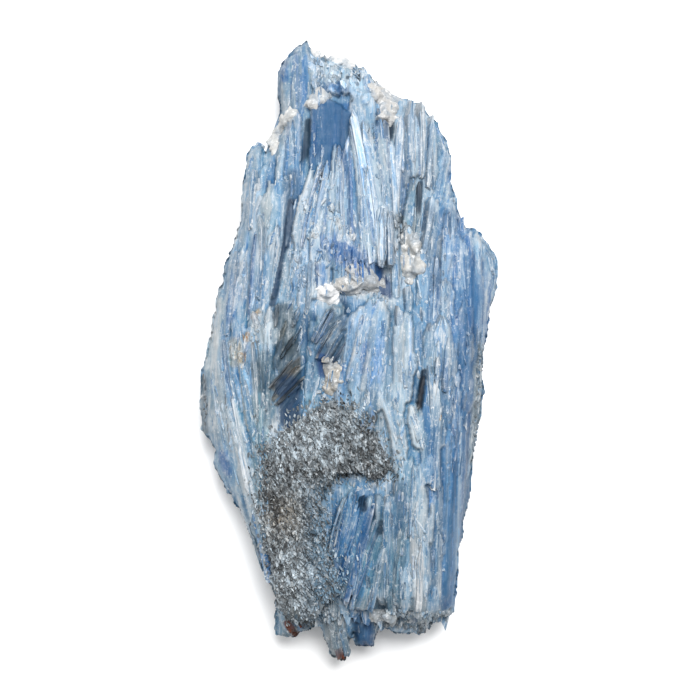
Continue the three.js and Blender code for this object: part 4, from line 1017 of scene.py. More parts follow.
def mica_material():
    """Flakes from black to silver, each with its own shade, shining on their flat sides."""
    m = Nodes("mica")
    place = m.node("ShaderNodeTexCoord").outputs["Object"]
    tint = m.attribute("tint").outputs["Color"]
    grain = m.noise(place, scale=1500, detail=3)
    colour = m.mix(m.times(m.ramp(grain, 0.55, 0.7), 0.5), tint, rgba("c9d0d5"))
    m.put(m.shader.inputs["Base Color"], colour)
    m.put(m.shader.inputs["Roughness"], m.math("ADD", 0.42, m.times(grain, 0.25)))
    m.put(m.shader.inputs["Normal"], m.bump(grain, 0.3, 0.0002))
    return m.material


def quartz_material():
    """White to grey-beige grains, a little see-through at their edges."""
    m = Nodes("quartz")
    place = m.node("ShaderNodeTexCoord").outputs["Object"]
    tint = m.attribute("tint").outputs["Color"]
    grain = m.noise(place, scale=900, detail=4, roughness=0.65)
    cloud = m.noise(place, scale=260, detail=2)
    colour = m.mix(m.times(m.ramp(cloud, 0.5, 0.7), 0.5), tint, rgba("b5b1aa"))
    colour = m.mix(m.times(m.ramp(grain, 0.55, 0.7), 0.5), colour, rgba("f1f1f0"))
    m.put(m.shader.inputs["Base Color"], colour)
    m.put(m.shader.inputs["Roughness"], m.math("ADD", 0.25, m.times(grain, 0.35)))
    m.shader.inputs["Subsurface Weight"].default_value = 0.2
    m.shader.inputs["Subsurface Radius"].default_value = (0.001, 0.001, 0.001)
    m.put(m.shader.inputs["Normal"], m.bump(grain, 0.5, 0.0002))
    return m.material


KYANITE = kyanite_material("kyanite")
KYANITE_FRONT = kyanite_material("kyanite_front", streaks=0.6)
MICA = mica_material()
QUARTZ = quartz_material()


# ---------------------------------------------------------------- the front, as one grown-together surface
STEP = 0.235  # spacing of the surface's points
REACH = np.array([32, 64])  # how far the grid of points reaches from the origin, along X and Y
EDGE = 10.0  # height of the surface's rim
RIM = 8.0  # height to which the surface bends down at its rim
RIM_WIDTH = 2.4  # width of the bend
RIM_FOOT = 7.0  # height of the flat back
END_DEPTH = 6.0  # how far at most the broken foot reaches down past it
# A grid cell's four neighbours, each with the two corners of the cell that it shares.
SIDES = ((-1, 0, 3, 0), (1, 0, 1, 2), (0, -1, 0, 1), (0, 1, 2, 3))


def inside(xy, outline):
    """Which points lie inside an outline."""
    x, y = xy[:, 0], xy[:, 1]
    hit = np.zeros(len(xy), bool)
    for (x0, y0), (x1, y1) in zip(outline, np.roll(outline, -1, axis=0)):
        crosses = (y0 > y) != (y1 > y)
        at = x0 + (y - y0) / np.where(y1 == y0, 1e-9, y1 - y0) * (x1 - x0)
        hit ^= crosses & (x < at)
    return hit


def from_outline(xy):
    """Distance of points from the specimen's outline."""
    return np.min([from_line(xy, a, b) for a, b in zip(OUTLINE, np.roll(OUTLINE, -1, axis=0))], axis=0)


def value_noise(seed, u, v, octaves=3):
    """Smooth random values between 0 and 1 over a plane, with finer ones added on top."""
    table = np.random.default_rng(seed).uniform(0, 1, (256, 256))
    total, weight = 0, 0
    for octave in range(octaves):
        scale, share = 2.03 ** octave, 0.6 ** octave
        iu, iv = np.floor(u * scale).astype(int), np.floor(v * scale).astype(int)
        fu, fv = smooth(u * scale - iu), smooth(v * scale - iv)
        near = table[iu % 256, iv % 256] * (1 - fu) + table[(iu + 1) % 256, iv % 256] * fu
        far = table[iu % 256, (iv + 1) % 256] * (1 - fu) + table[(iu + 1) % 256, (iv + 1) % 256] * fu
        total = total + share * (near * (1 - fv) + far * fv)
        weight += share
    return total / weight


def noises(terms, start=0):
    """Value noises about 0, added up one by one; each term is [seed, strength, u, v]."""
    return sum((strength * (value_noise(seed, u, v) - 0.5) for seed, strength, u, v in terms), start)


def cell_of(xy):
    """The grid's cell at a place."""
    return ((xy + REACH) / STEP).astype(int)


def blurred(values, reach):
    """Values of a grid averaged with their neighbours, over about this many millimetres."""
    for _ in range(max(1, round(2 * (reach / STEP) ** 2))):
        values = (np.roll(values, 1, 0) + 2 * values + np.roll(values, -1, 0)) / 4
        values = (np.roll(values, 1, 1) + 2 * values + np.roll(values, -1, 1)) / 4
    return values


class Front:
    """A grid of heights that blades are pressed into, one by one, the higher winning."""

    def __init__(self):
        xs, ys = np.arange(-REACH[0], REACH[0], STEP), np.arange(-REACH[1], REACH[1], STEP)
        self.x, self.y = np.meshgrid(xs, ys, indexing="ij")
        left, right, _, high = section_at(self.y)
        across = np.clip(np.abs((2 * self.x - left - right) / (right - left + 4)), 0, 1)
        self.z = EDGE + (high + 0.4 - EDGE) * np.clip(1 - across ** 2.6, 0, 1) ** 0.6
        self.u, self.v = self.x.copy(), self.y.copy()
        self.tone = np.zeros(self.x.shape + (3,))
        self.share = np.zeros(self.x.shape)
        self.shade = np.ones(self.x.shape)

    def press(self, rng, parts, tones, shares, point):
        """Every lath of a sheaf, in order."""
        each = zip(parts["start"], parts["end"], parts["width"], tones, shares, parts["row"])
        for start, end, width, tone, share, row in each:
            self.press_one(rng, start, end, width, tone, share, point, row)

    def press_one(self, rng, start, end, width, tone, share, point, row):
        """One lath: a sloping face with a pointed outline, kept where it is higher than what is there."""
        line = (end - start)[:2]
        length = np.linalg.norm(line)
        axis = line / length
        low = np.minimum(start, end)[:2] - width
        high = np.maximum(start, end)[:2] + width
        i0, j0 = np.clip(cell_of(low), 0, None)
        i1, j1 = cell_of(high) + 1
        here = np.s_[i0:i1, j0:j1]
        dx, dy = self.x[here] - start[0], self.y[here] - start[1]
        v = dx * axis[0] + dy * axis[1]
        u = dx * axis[1] - dy * axis[0]
        wave = value_noise(int(row) + 7, v * 0.3 + row * 9.7, u * 0 + row, 2) - 0.5
        u = u + wave * 0.2 * min(width, 2)
        tip = length - v + rng.normal(0, 1.1) * u
        butt = v + rng.normal(0, 0.7) * u
        taper = width * rng.uniform(0.4, 2.2) / point
        half = width / 2 * np.clip(np.minimum(0.15 + tip / taper, 0.3 + butt / taper), 0.05, 1)
        edge = np.abs(u) / half
        within = (edge < 1) & (tip > 0) & (butt > 0)
        z = start[2] + (end[2] - start[2]) * v / length + rng.normal(0, 0.12) * u - 0.22 * edge ** 8
        z = z - 0.2 * np.exp(-np.clip(tip, 0, None) / 0.4)
        wins = within & (z > self.z[here])
        self.z[here] = np.where(wins, z, self.z[here])
        self.u[here] = np.where(wins, u + 17.3 * row, self.u[here])
        self.v[here] = np.where(wins, v + 53.1 * row, self.v[here])
        self.tone[here] = np.where(wins[..., None], mineral(tone), self.tone[here])
        self.share[here] = np.where(wins, share, self.share[here])
        self.shade[here] = np.where(wins, math.exp(rng.normal(0, 0.14)), self.shade[here])

    def relief(self):
        """The pressed heights, run together a little, with fine ridges along the grain."""
        z = blurred(self.z, 0.12)
        level = blurred(z, 2.5)
        z = level + 0.85 * np.tanh((z - level) / 1.1)
        return noises([
            [71, 0.35, self.u * 0.9, self.v * 0.09],
            [72, 0.22, self.u * 2.2, self.v * 0.3],
            [73, 0.3, self.x * 0.9, self.y * 0.5],
        ], z)

    def bent(self, z):
        """The heights, bent down near the outline."""
        bend = np.clip(1 - from_outline(self.shaken()).reshape(z.shape) / RIM_WIDTH, 0, 1)
        return RIM + (z - RIM) * np.sqrt(1 - bend ** 2)

    def shaken(self):
        """The grid's points moved about a little, to break the outline up."""
        x, y = self.x.ravel(), self.y.ravel()
        shake = np.stack([value_noise(91, x * 0.8, y * 0.35), value_noise(92, x, y)], -1)
        return np.stack([x, y], -1) + (shake - 0.5) * 1.4

    def colours(self, z):
        """The painted colours, lighter and darker along the grain, with painted highlight on ridges, painted
        shade in hollows, and the colours of the pressed laths.
        """
        points = np.stack([self.x.ravel(), self.y.ravel()], -1)
        region = painted(points).reshape(self.tone.shape)
        # Painted light: where the surface stands above its surroundings it is whitened as a painted
        # highlight, and where it sinks below them it is darkened as painted shade.
        broad, narrow = (z - blurred(z, 0.8)) / 0.6, (z - blurred(z, 0.3)) / 0.22
        hollow = np.clip(broad, -1, 1) + np.clip(narrow, -1, 1) * 0.8
        change = noises([
            [81, 1.7, self.u * 0.45, self.v * 0.06],
            [82, 0.9, self.u * 1.7, self.v * 0.2],
            [83, 1.4, self.x * 0.4, self.y * 0.16],
            [84, 0.9, self.x * 1.3, self.y * 0.9],
            [85, 0.8, self.u * 3.4, self.v * 0.7],
        ])
        calm = self.calm()
        change = change * (1 - 0.6 * calm) + 0.3 * hollow * (1 - 0.5 * calm)
        light = np.clip(region.sum(-1) / 1.1, 0, 1) ** 1.5
        whiten = (np.clip(change, 0, 1) * light)[..., None]
        deepen = np.clip(-change, 0, 1)[..., None]
        colour = region + 0.85 * whiten * (linear("e6e9ea") * 0.97 - region)
        colour = colour * (1 - deepen * (1 - np.array([0.24, 0.52, 0.68])))
        mine = (0.8 * self.share * np.where(self.tone.sum(-1) > region.sum(-1), light, 1))[..., None]
        return (colour + mine * (self.tone - colour)) * self.shade[..., None] * ALBEDO

    def calm(self):
        """Where the faces are broad and even: 1 there, 0 elsewhere."""
        xy = np.stack([self.x.ravel(), self.y.ravel()], -1)
        even = np.zeros(len(xy))
        for x0, y0, x1, y1, radius in CALM:
            distance = from_line(xy, np.array([x0, y0]), np.array([x1, y1]))
            even = np.maximum(even, smooth((1.3 - distance / radius) / 0.5))
        return even.reshape(self.x.shape)

    def solid(self):
        """The surface inside the outline, closed by a wall round its rim and a flat back."""
        level = self.relief()
        tint = self.colours(level)
        z = self.bent(level)
        xy = self.shaken()
        shown = (inside(xy, OUTLINE) | (from_outline(xy) < 0.3)).reshape(self.x.shape)
        cell = shown[:-1, :-1] & shown[1:, :-1] & shown[1:, 1:] & shown[:-1, 1:]
        cell = well_joined(cell)
        index = np.arange(self.x.size).reshape(self.x.shape)
        i, j = np.nonzero(cell)
        quads = np.stack([index[i, j], index[i + 1, j], index[i + 1, j + 1], index[i, j + 1]], -1)
        rim = np.concatenate([quads[~cell[i + di, j + dj]][:, [a, b]] for di, dj, a, b in SIDES])
        upper = np.stack([self.x.ravel(), self.y.ravel(), z.ravel()], -1)
        after = dict(zip(rim[:, 0].tolist(), rim[:, 1].tolist()))
        first = int(rim[0, 0])
        loop, at = [first], after[first]
        while at != first and len(loop) < len(after) + 1:
            loop.append(at)
            at = after[at]
        ring = upper[loop, :2]
        for _ in range(4):
            ring = (np.roll(ring, 1, 0) + 2 * ring + np.roll(ring, -1, 0)) / 4
        upper[loop, :2] = ring
        used = np.unique(quads)
        edge = np.unique(rim)
        again = np.full(self.x.size, -1)
        again[used] = np.arange(len(used))
        below = np.full(self.x.size, -1)
        below[edge] = len(used) + np.arange(len(edge))
        lower = upper[edge]
        at_foot = smooth((-44 - lower[:, 1]) / 5)
        lower[:, 2] = RIM_FOOT - END_DEPTH * at_foot * value_noise(74, lower[:, 0] * 0.9, lower[:, 1] * 0.9)
        points = np.concatenate([upper[used], lower])
        a, b = rim.T
        wall = np.stack([again[b], again[a], below[a], below[b]], -1)
        faces = again[quads].tolist() + wall.tolist() + [below[loop[::-1]].tolist()]
        lath = np.stack([self.u.ravel(), self.v.ravel(), 0 * self.u.ravel()], -1)
        everywhere = np.concatenate([used, edge])
        return {
            "points": points, "faces": faces, "tint": tint.reshape(-1, 3)[everywhere],
            "lath": lath[everywhere], "frost": np.zeros(len(everywhere)),
            "plain": 1 - 0.55 * self.calm().ravel()[everywhere],
        }


def well_joined(cell):
    """The cells, changed where two of them would touch at a corner only."""
    for _ in range(3):
        sides = sum(np.roll(cell, shift, axis).astype(int) for shift in (-1, 1) for axis in (0, 1))
        cell = cell & (sides >= 2)
        corner = cell[:-1, :-1] & cell[1:, 1:] & ~cell[1:, :-1] & ~cell[:-1, 1:]
        cell[1:, :-1] |= corner
        corner = ~cell[:-1, :-1] & ~cell[1:, 1:] & cell[1:, :-1] & cell[:-1, 1:]
        cell[:-1, :-1] |= corner
    return cell


# Broad even faces: [x, y, x, y along their middle, radius].
CALM = [
    [-3, 47.5, -3.2, 41, 2.4],
    [20, -26, 20, -48, 1.6],
    [24.8, 15, 25, 7, 1.2],
]


# ---------------------------------------------------------------- the mass behind the blades
def mass_piece(rng):
    """The smooth body behind all blades, rippled a little, one closed skin."""
    around, along = 120, 180
    y = np.linspace(SECTIONS[0, 0], SECTIONS[-1, 0], along)
    angle = np.linspace(0, 2 * math.pi, around, endpoint=False)
    yy, aa = np.meshgrid(y, angle, indexing="ij")
    points, outward = skin(yy.ravel(), aa.ravel())
    ripple = np.zeros(len(points))
    for _ in range(26):
        turn = rng.integers(6, 60)
        wave = rng.uniform(0.02, 0.12)
        phase = turn * aa.ravel() + wave * yy.ravel() + rng.uniform(0, 6.3)
        ripple += np.sin(phase) * rng.uniform(0.03, 0.14)
    points = points + outward * (ripple[:, None] - 0.5)
    index = np.arange(along * around).reshape(along, around)
    right = np.roll(index, -1, axis=1)
    quads = np.stack([index[:-1], right[:-1], right[1:], index[1:]], -1).reshape(-1, 4)
    faces = quads.tolist() + [index[0][::-1].tolist(), index[-1].tolist()]
    front = painted(points) * ALBEDO
    # Painted shade: the skin is darkened towards slate, the more the further it faces down.
    hidden = linear(SLATE)
    downward_shade = np.clip(0.6 - 0.4 * outward[:, 2:3], 0.35, 0.9)
    tint = front * (1 - downward_shade) + hidden * downward_shade * 0.8
    lath = np.stack([aa.ravel() * 24, yy.ravel(), 0 * ripple], -1)
    return make("kyanite_mass", unfrosted(points, faces, tint, lath), KYANITE, flat=False)


# ---------------------------------------------------------------- blades
def sheaves(name, seed, rows, point=0.85, loose=0.06, **how):
    """Sheaves pressed into the front, with a share of their laths laid loose on it."""
    rng = np.random.default_rng(seed)
    parts = split(rng, rows, **how)
    tone, share = varied(rng, parts["tone"], parts["share"])
    parts["row"] = parts["row"] + 40 * seed
    front.press(rng, parts, tone, share, point)
    chosen = rng.uniform(0, 1, len(tone)) < loose
    if not chosen.any():
        return
    parts = {key: value[chosen] for key, value in parts.items()}
    start, end = parts["start"] + [0, 0, 0.12], parts["end"] + [0, 0, 0.12]
    outward = lean((start + end) / 2) + rng.normal(0, 0.12, start.shape)
    width, tone, share = parts["width"] * 0.8, tone[chosen], share[chosen] * 1.5
    make(name, laths(rng, start, end, outward, width, parts["thick"], tone, share, point), KYANITE)


def flank(name, seed, low, high, count):
    """Laths lying along the skin between two angles round the mass, in degrees from +X towards +Z."""
    rng = np.random.default_rng(seed)
    angle = np.radians(rng.uniform(low, high, count))
    y = rng.uniform(-50, 50, count)
    length = rng.uniform(5, 24, count)
    y = np.clip(y, -52 + length / 2, 54 - length / 2)
    turn = rng.normal(0, 0.05, count)
    proud = rng.uniform(-1.4, -0.3, count)
    start, out_a = skin(y - length / 2, angle - turn, proud)
    end, out_b = skin(y + length / 2, angle + turn, proud - rng.uniform(0, 0.5, count))
    width = rng.uniform(0.6, 2.6, count)
    tone = tones(rng, [PALE, MID, BLUE, GREY_BLUE, SLATE, GREY, TEAL], count)
    share = rng.uniform(0.4, 0.8, count)
    data = laths(rng, start, end, out_a + out_b, width, rng.uniform(1.5, 3, count), tone, share)
    return make(name, data, KYANITE)


def edging(name, seed, count):
    """Laths lying along both sides of the specimen, under its rim."""
    rng = np.random.default_rng(seed)
    line = np.roll(OUTLINE, -1, axis=0) - OUTLINE
    size = np.linalg.norm(line, axis=1)
    sides = (np.abs(line[:, 1]) > 0.85 * size) & (np.abs(OUTLINE[:, 1]) < 48)
    first, line, size = OUTLINE[sides], line[sides], size[sides]
    pick = rng.choice(len(size), count, p=size / size.sum())
    axis = line[pick] / size[pick][:, None]
    out = np.stack([axis[:, 1], -axis[:, 0]], -1)
    middle = first[pick] + rng.uniform(0.2, 0.8, (count, 1)) * line[pick]
    middle = middle + out * rng.uniform(-1.0, -0.5, (count, 1))
    half = axis * np.minimum(rng.uniform(1.2, 4, count), 0.7 * size[pick])[:, None]
    z = rng.uniform(6.2, 11.5, count)
    dip = rng.normal(0, 0.25, count)
    start = np.concatenate([middle - half, (z - dip)[:, None]], 1)
    end = np.concatenate([middle + half, (z + dip)[:, None]], 1)
    outward = np.concatenate([out, np.full((count, 1), 0.4)], 1)
    tone = tones(rng, [PALE, MID, BLUE, GREY_BLUE, SLATE, GREY], count)
    share = rng.uniform(0.2, 0.6, count)
    width, thick = rng.uniform(0.5, 1.6, count), rng.uniform(1, 1.8, count)
    return make(name, laths(rng, start, end, outward, width, thick, tone, share), KYANITE)


# How far along Y the crown reaches at places along X.
BROW = ([-14, -9, -4, 2, 5, 8, 12, 15, 18], [56, 59, 57, 55.5, 51, 49.5, 48, 46, 43])


def stubs(name, seed, y_in, y_out, ragged, count):
    """The broken ends of the blades inside the mass, at its foot or its crown."""
    rng = np.random.default_rng(seed)
    left, right, low, high = section_at(np.full(count, float(y_in)))
    turn = rng.uniform(0, 2 * math.pi, count)
    radius = np.sqrt(rng.uniform(0, 1, count)) * 0.95
    x = (left + right) / 2 + radius * (right - left) / 2 * np.cos(turn)
    z = (low + high) / 2 + radius * (high - low) / 2 * np.sin(turn)
    start = np.stack([x, np.full(count, float(y_in)), z], -1)
    reach = y_out + np.sign(y_out - y_in) * rng.uniform(-ragged, ragged, count) * (1 - 0.5 * radius)
    brow = np.interp(x, *BROW)
    reach = np.minimum(reach, brow - rng.uniform(0, 2, count))
    out = (reach - y_in) * np.sign(y_out - y_in) > 1.5
    start, x, z, reach = start[out], x[out], z[out], reach[out]
    count = len(x)
    end = np.stack([x * 0.97, reach, z], -1)
    tone = tones(rng, [PALE, MID, SLATE, GREY, TEAL], count)
    outward = rng.normal(0, 0.4, (count, 3)) + np.array([0, 0, 1])
    width, thick, share = rng.uniform(1, 3, count), rng.uniform(1, 2, count), rng.uniform(0.3, 0.6, count)
    return make(name, laths(rng, start, end, outward, width, thick, tone, share), KYANITE)


MICA_OUTLINE = np.array([
    [-13.5, -15.5], [-8, -12.5], [-5, -10.2], [0, -10], [2, -11.4], [4, -14.6], [6.4, -18.6], [8, -22],
    [7.2, -24.6], [4.6, -25.4], [1.4, -23.6], [-2.4, -24], [-4.6, -26.6], [-5.8, -31], [-4.4, -36],
    [-3.8, -40], [-1.8, -44], [-1.8, -48], [-5.4, -50], [-6.4, -53], [-11, -54.2], [-14.6, -51],
    [-15.6, -44], [-16.2, -40], [-17.4, -35], [-17.6, -28], [-17.2, -20],
])


def grown_surface():
    """A search tree of all faces laid so far, in millimetres, built again only when much was added."""
    if grown and len(laid) < grown[-1][0] + 3:
        return grown[-1][1]
    points, faces, offset = [], [], 0
    for some, theirs in laid:
        points += some.tolist()
        faces += [[i + offset for i in face] for face in theirs]
        offset += len(some)
    grown.append((len(laid), BVHTree.FromPolygons(points, faces)))
    return grown[-1][1]


ABOVE = 60  # a height above the whole specimen


def drop(tree, xy):
    """Where vertical lines meet the top of the specimen: a mask, the points and their normals."""
    hits = [tree.ray_cast(Vector((x, y, ABOVE)), Vector((0, 0, -1))) for x, y in xy]
    found = np.array([hit[0] is not None and hit[0].z > 4 for hit in hits])
    points = np.array([hit[0] if ok else (0, 0, 0) for hit, ok in zip(hits, found)], float)
    normals = np.array([hit[1] if ok else (0, 0, 1) for hit, ok in zip(hits, found)], float)
    return found, points, normals


def grain_of(xy, rows):
    """The direction in which the nearest sheaf runs."""
    rows = np.array([row[:7] for row in rows], float)
    a, b, wide = rows[:, :2], rows[:, 3:5], rows[:, 6]
    line = b - a
    along = np.einsum("nrk,rk->nr", xy[:, None] - a[None], line) / (line ** 2).sum(1)
    near = a[None] + np.clip(along, 0, 1)[..., None] * line[None]
    distance = np.linalg.norm(xy[:, None] - near, axis=2) - wide * 0.3
    best = distance.argmin(1)
    axis = rows[best, 3:6] - rows[best, :3]
    return axis / np.linalg.norm(axis, axis=1)[:, None]


def splinters(name, seed, rows, count, long, wide, low, high, codes, stray=0.07, most=0.8):
    """Short loose fibres lying on the blades, along their grain, between two corners of a rectangle."""
    rng = np.random.default_rng(seed)
    xy = rng.uniform(low, high, (count, 2))
    tree = grown_surface()
    found, points, normals = drop(tree, xy)
    steep = normals[:, 2] < 0.5
    i, j = cell_of(xy).T
    pale_ground = painted(xy).sum(1) > 0.5
    on_mica = inside(xy + rng.normal(0, 0.7, xy.shape), MICA_OUTLINE)
    keep = found & pale_ground & ~steep & ~on_mica & (front.calm()[i, j] < 0.3)
    points, normals = points[keep], normals[keep]
    n = len(points)
    axis = grain_of(points[:, :2], rows) + rng.normal(0, stray, (n, 3)) * [1, 1, 0.6]
    axis /= np.linalg.norm(axis, axis=1)[:, None]
    length = long * np.exp(rng.normal(0, 0.5, n))
    width = wide * np.exp(rng.normal(0, 0.4, n))
    base = points + [0, 0, 0.12]
    tone = tones(rng, codes, n)
    share = rng.uniform(0.0, most, n)
    start, end = base - axis * length[:, None] / 2, base + axis * length[:, None] / 2
    lies = np.ones(n, bool)
    for tip in (start, end):
        found, ground, _ = drop(tree, tip[:, :2])
        lies &= found & (np.abs(ground[:, 2] - tip[:, 2]) < 0.7)
    start, end, width, tone, share = (value[lies] for value in (start, end, width, tone, share))
    outward = normals[lies] + [0, 0, 1]
    data = laths(rng, start, end, outward, width, width * rng.uniform(0.6, 1, len(width)), tone, share)
    return make(name, data, KYANITE)


mass = mass_piece(np.random.default_rng(1))
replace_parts(mass, "kyanite_blades")
front = Front()
sheaves("blades_crown", 2, CROWN, piece=24, lift=0.3, pitch=1.8)
sheaves("blades_crown_break", 3, CROWN_BREAK, piece=3, lift=0.4, pitch=1.2)
sheaves("blades_left_shoulder", 4, LEFT_SHOULDER, piece=22, lift=0.4)
sheaves("blades_spray", 5, SPRAY, piece=40, pitch=2.4, lift=0.3, point=0.35, loose=0.5)
sheaves("blades_right_shoulder", 6, RIGHT_SHOULDER, pitch=1.5)
sheaves("blades_middle", 7, MIDDLE, pitch=1.5, loose=0.3)
sheaves("blades_right_block", 8, RIGHT_BLOCK, pitch=1.5)
sheaves("blades_right_faces", 9, RIGHT_FACES, pitch=1.3, piece=40, lift=0.15, top=0.5, loose=0)
sheaves("blades_deep_face", 10, DEEP_FACE, pitch=7, piece=60, lift=0.1, top=0.0, point=5, loose=0)
sheaves("blades_lower_fan", 11, LOWER_FAN, pitch=1.6)
sheaves("blades_lower_hollow", 12, LOWER_HOLLOW, pitch=1.2, lift=0.3, ragged=0.15, loose=0.25)
sheaves("blades_left_fan", 13, LEFT_FAN, pitch=1.6)
sheaves("blades_dark_zone", 14, DARK_ZONE, pitch=1.6)
sheaves("blades_foot", 15, FOOT, piece=9, pitch=1.5)
SINGLE = {"piece": 60, "lift": 0.05, "pitch": 3, "top": 0, "ragged": 0.01}  # one long lath to a row
sheaves("blades_bold", 23, BOLD_BLADES, point=0.35, loose=0.6, **SINGLE)
# Thin strips of painted shade between the blades, pressed into the front.
sheaves("gap_shade_and_lines", 24, GAP_SHADE_AND_LINES, point=0.5, loose=0, **SINGLE)
sheaves("blades_fine", 22, FINE_BLADES, piece=30, lift=0.15, pitch=3, point=0.3, top=0.3, loose=0.3)
sheaves("blades_across", 21, ACROSS, piece=20, lift=0.3, pitch=3, point=0.3, loose=0.35)
make("kyanite_front", front.solid(), KYANITE_FRONT, flat=False)
flank("blades_left_flank", 16, 140, 215, 450)
flank("blades_right_flank", 17, -35, 40, 450)
flank("blades_back", 18, 215, 325, 600)
edging("blades_edging", 25, 400)
stubs("blades_foot_ends", 19, -46, -53.5, 2, 240)
stubs("blades_crown_ends", 20, 48, 57, 2, 90)


# ---------------------------------------------------------------- mica schist
def mica_height(xy):
    """The height of the patch: a dome with bumps."""
    x, y = xy[:, 0], xy[:, 1]
    fall = np.where(x < -5, 0.042, 0.015) * (x + 5) ** 2 + 0.009 * (y + 22) ** 2
    bumps = 0.5 * np.sin(x * 1.3 + 0.8 * np.sin(y)) + 0.5 * np.sin(y * 1.1 + 1.7 + np.sin(x * 0.9))
    bumps += 0.35 * np.sin(x * 2.9 + y * 2.1) + 0.25 * np.sin(4.3 * y - 3.1 * x)
    return 27.2 - fall + 0.55 * bumps


# Lighter and darker places of the patch: [x, y, radius, change].
MICA_PLACES = [
    [-8.5, -18, 5, 0.16], [-2, -16, 4, 0.06], [5, -22, 4.5, -0.22], [-15.5, -29, 3, -0.2],
    [-8, -30, 5, -0.05], [-9, -42, 6, 0.02], [-12, -50, 4, 0.05], [-6, -48.5, 2, -0.3], [3, -13, 3, -0.05],
    [-10.5, -47, 3, 0.08], [-15.5, -22, 2.8, -0.14], [-9.4, -26.5, 4.6, -0.1], [-13, -26, 4, -0.04],
]


def mica_shade(xy):
    """How light each flake is: paler along the top left, black to the right and by the left edge."""
    shade = np.full(len(xy), 0.42)
    for x, y, radius, change in MICA_PLACES:
        shade += change * np.exp(-((xy[:, 0] - x) ** 2 + (xy[:, 1] - y) ** 2) / radius ** 2)
    return shade


def flakes(rng, centre, normal, size, thick, colour, stretch=2.5):
    """Thin six-sided plates, longer one way."""
    n = len(centre)
    turn = np.cumsum(rng.uniform(0.7, 1.3, (n, 6)), axis=1)
    turn = turn / turn[:, -1:] * 2 * math.pi + rng.uniform(0, 6.3, (n, 1))
    radius = size[:, None] / 2 * rng.uniform(0.6, 1.2, (n, 6))
    heading = 1.3 + 1.1 * value_noise(95, centre[:, 0] * 0.15, centre[:, 1] * 0.15) + rng.normal(0, 0.35, n)
    helper = np.stack([np.cos(heading), np.sin(heading), 0 * heading], -1)
    side = np.cross(normal, helper)
    side /= np.linalg.norm(side, axis=1)[:, None]
    up = np.cross(side, normal)
    rim = (radius * np.cos(turn))[..., None] * side[:, None]
    rim = rim + stretch * (radius * np.sin(turn))[..., None] * up[:, None]
    warp = rng.normal(0, 0.05, (n, 6, 1)) * size[:, None, None] * normal[:, None]
    top = centre[:, None] + rim + warp + normal[:, None] * thick[:, None, None]
    low = centre[:, None] + rim * 0.96 + warp
    points = np.concatenate([top, low], 1)
    first = (np.arange(n) * 12)[:, None]
    k = np.arange(6)[None]
    k2 = (k + 1) % 6
    sides = np.stack([first + k, first + 6 + k, first + 6 + k2, first + k2], -1).reshape(-1, 4)
    faces = sides.tolist() + (first + k).tolist() + (first + 6 + k[:, ::-1]).tolist()
    return unfrosted(points.reshape(-1, 3), faces, np.repeat(colour, 12, axis=0), np.zeros((n * 12, 3)))


def mica_ground(rng):
    """The patch's solid body, under its flakes."""
    low, high = MICA_OUTLINE.min(0) - 1, MICA_OUTLINE.max(0) + 1
    xs, ys = np.arange(low[0], high[0], 0.5), np.arange(low[1], high[1], 0.5)
    gx, gy = np.meshgrid(xs, ys, indexing="ij")
    xy = np.stack([gx.ravel(), gy.ravel()], -1)
    shown = inside(xy, MICA_OUTLINE).reshape(gx.shape)
    cell = shown[:-1, :-1] & shown[1:, :-1] & shown[1:, 1:] & shown[:-1, 1:]
    height = mica_height(xy).reshape(gx.shape) + rng.normal(0, 0.12, gx.shape)
    index = np.arange(gx.size).reshape(gx.shape)
    top, faces = [], []
    for i, j in zip(*np.nonzero(cell)):
        quad = [index[i, j], index[i + 1, j], index[i + 1, j + 1], index[i, j + 1]]
        faces.append(quad)
        faces.append([q + gx.size for q in reversed(quad)])
        for di, dj, a, b in SIDES:
            ni, nj = i + di, j + dj
            if not (0 <= ni < cell.shape[0] and 0 <= nj < cell.shape[1] and cell[ni, nj]):
                faces.append([quad[b], quad[a], quad[a] + gx.size, quad[b] + gx.size])
    upper = np.stack([gx.ravel(), gy.ravel(), height.ravel()], -1)
    lower = upper * [1, 1, 0] + [0, 0, 15]
    points = np.concatenate([upper, lower])
    used = sorted({i for face in faces for i in face})
    again = {old: new for new, old in enumerate(used)}
    faces = [[again[i] for i in face] for face in faces]
    points = points[used]
    tint = np.tile(linear("53585c"), (len(points), 1)) * rng.uniform(0.6, 1.3, (len(points), 1))
    return unfrosted(points, faces, tint, np.zeros((len(points), 3)))


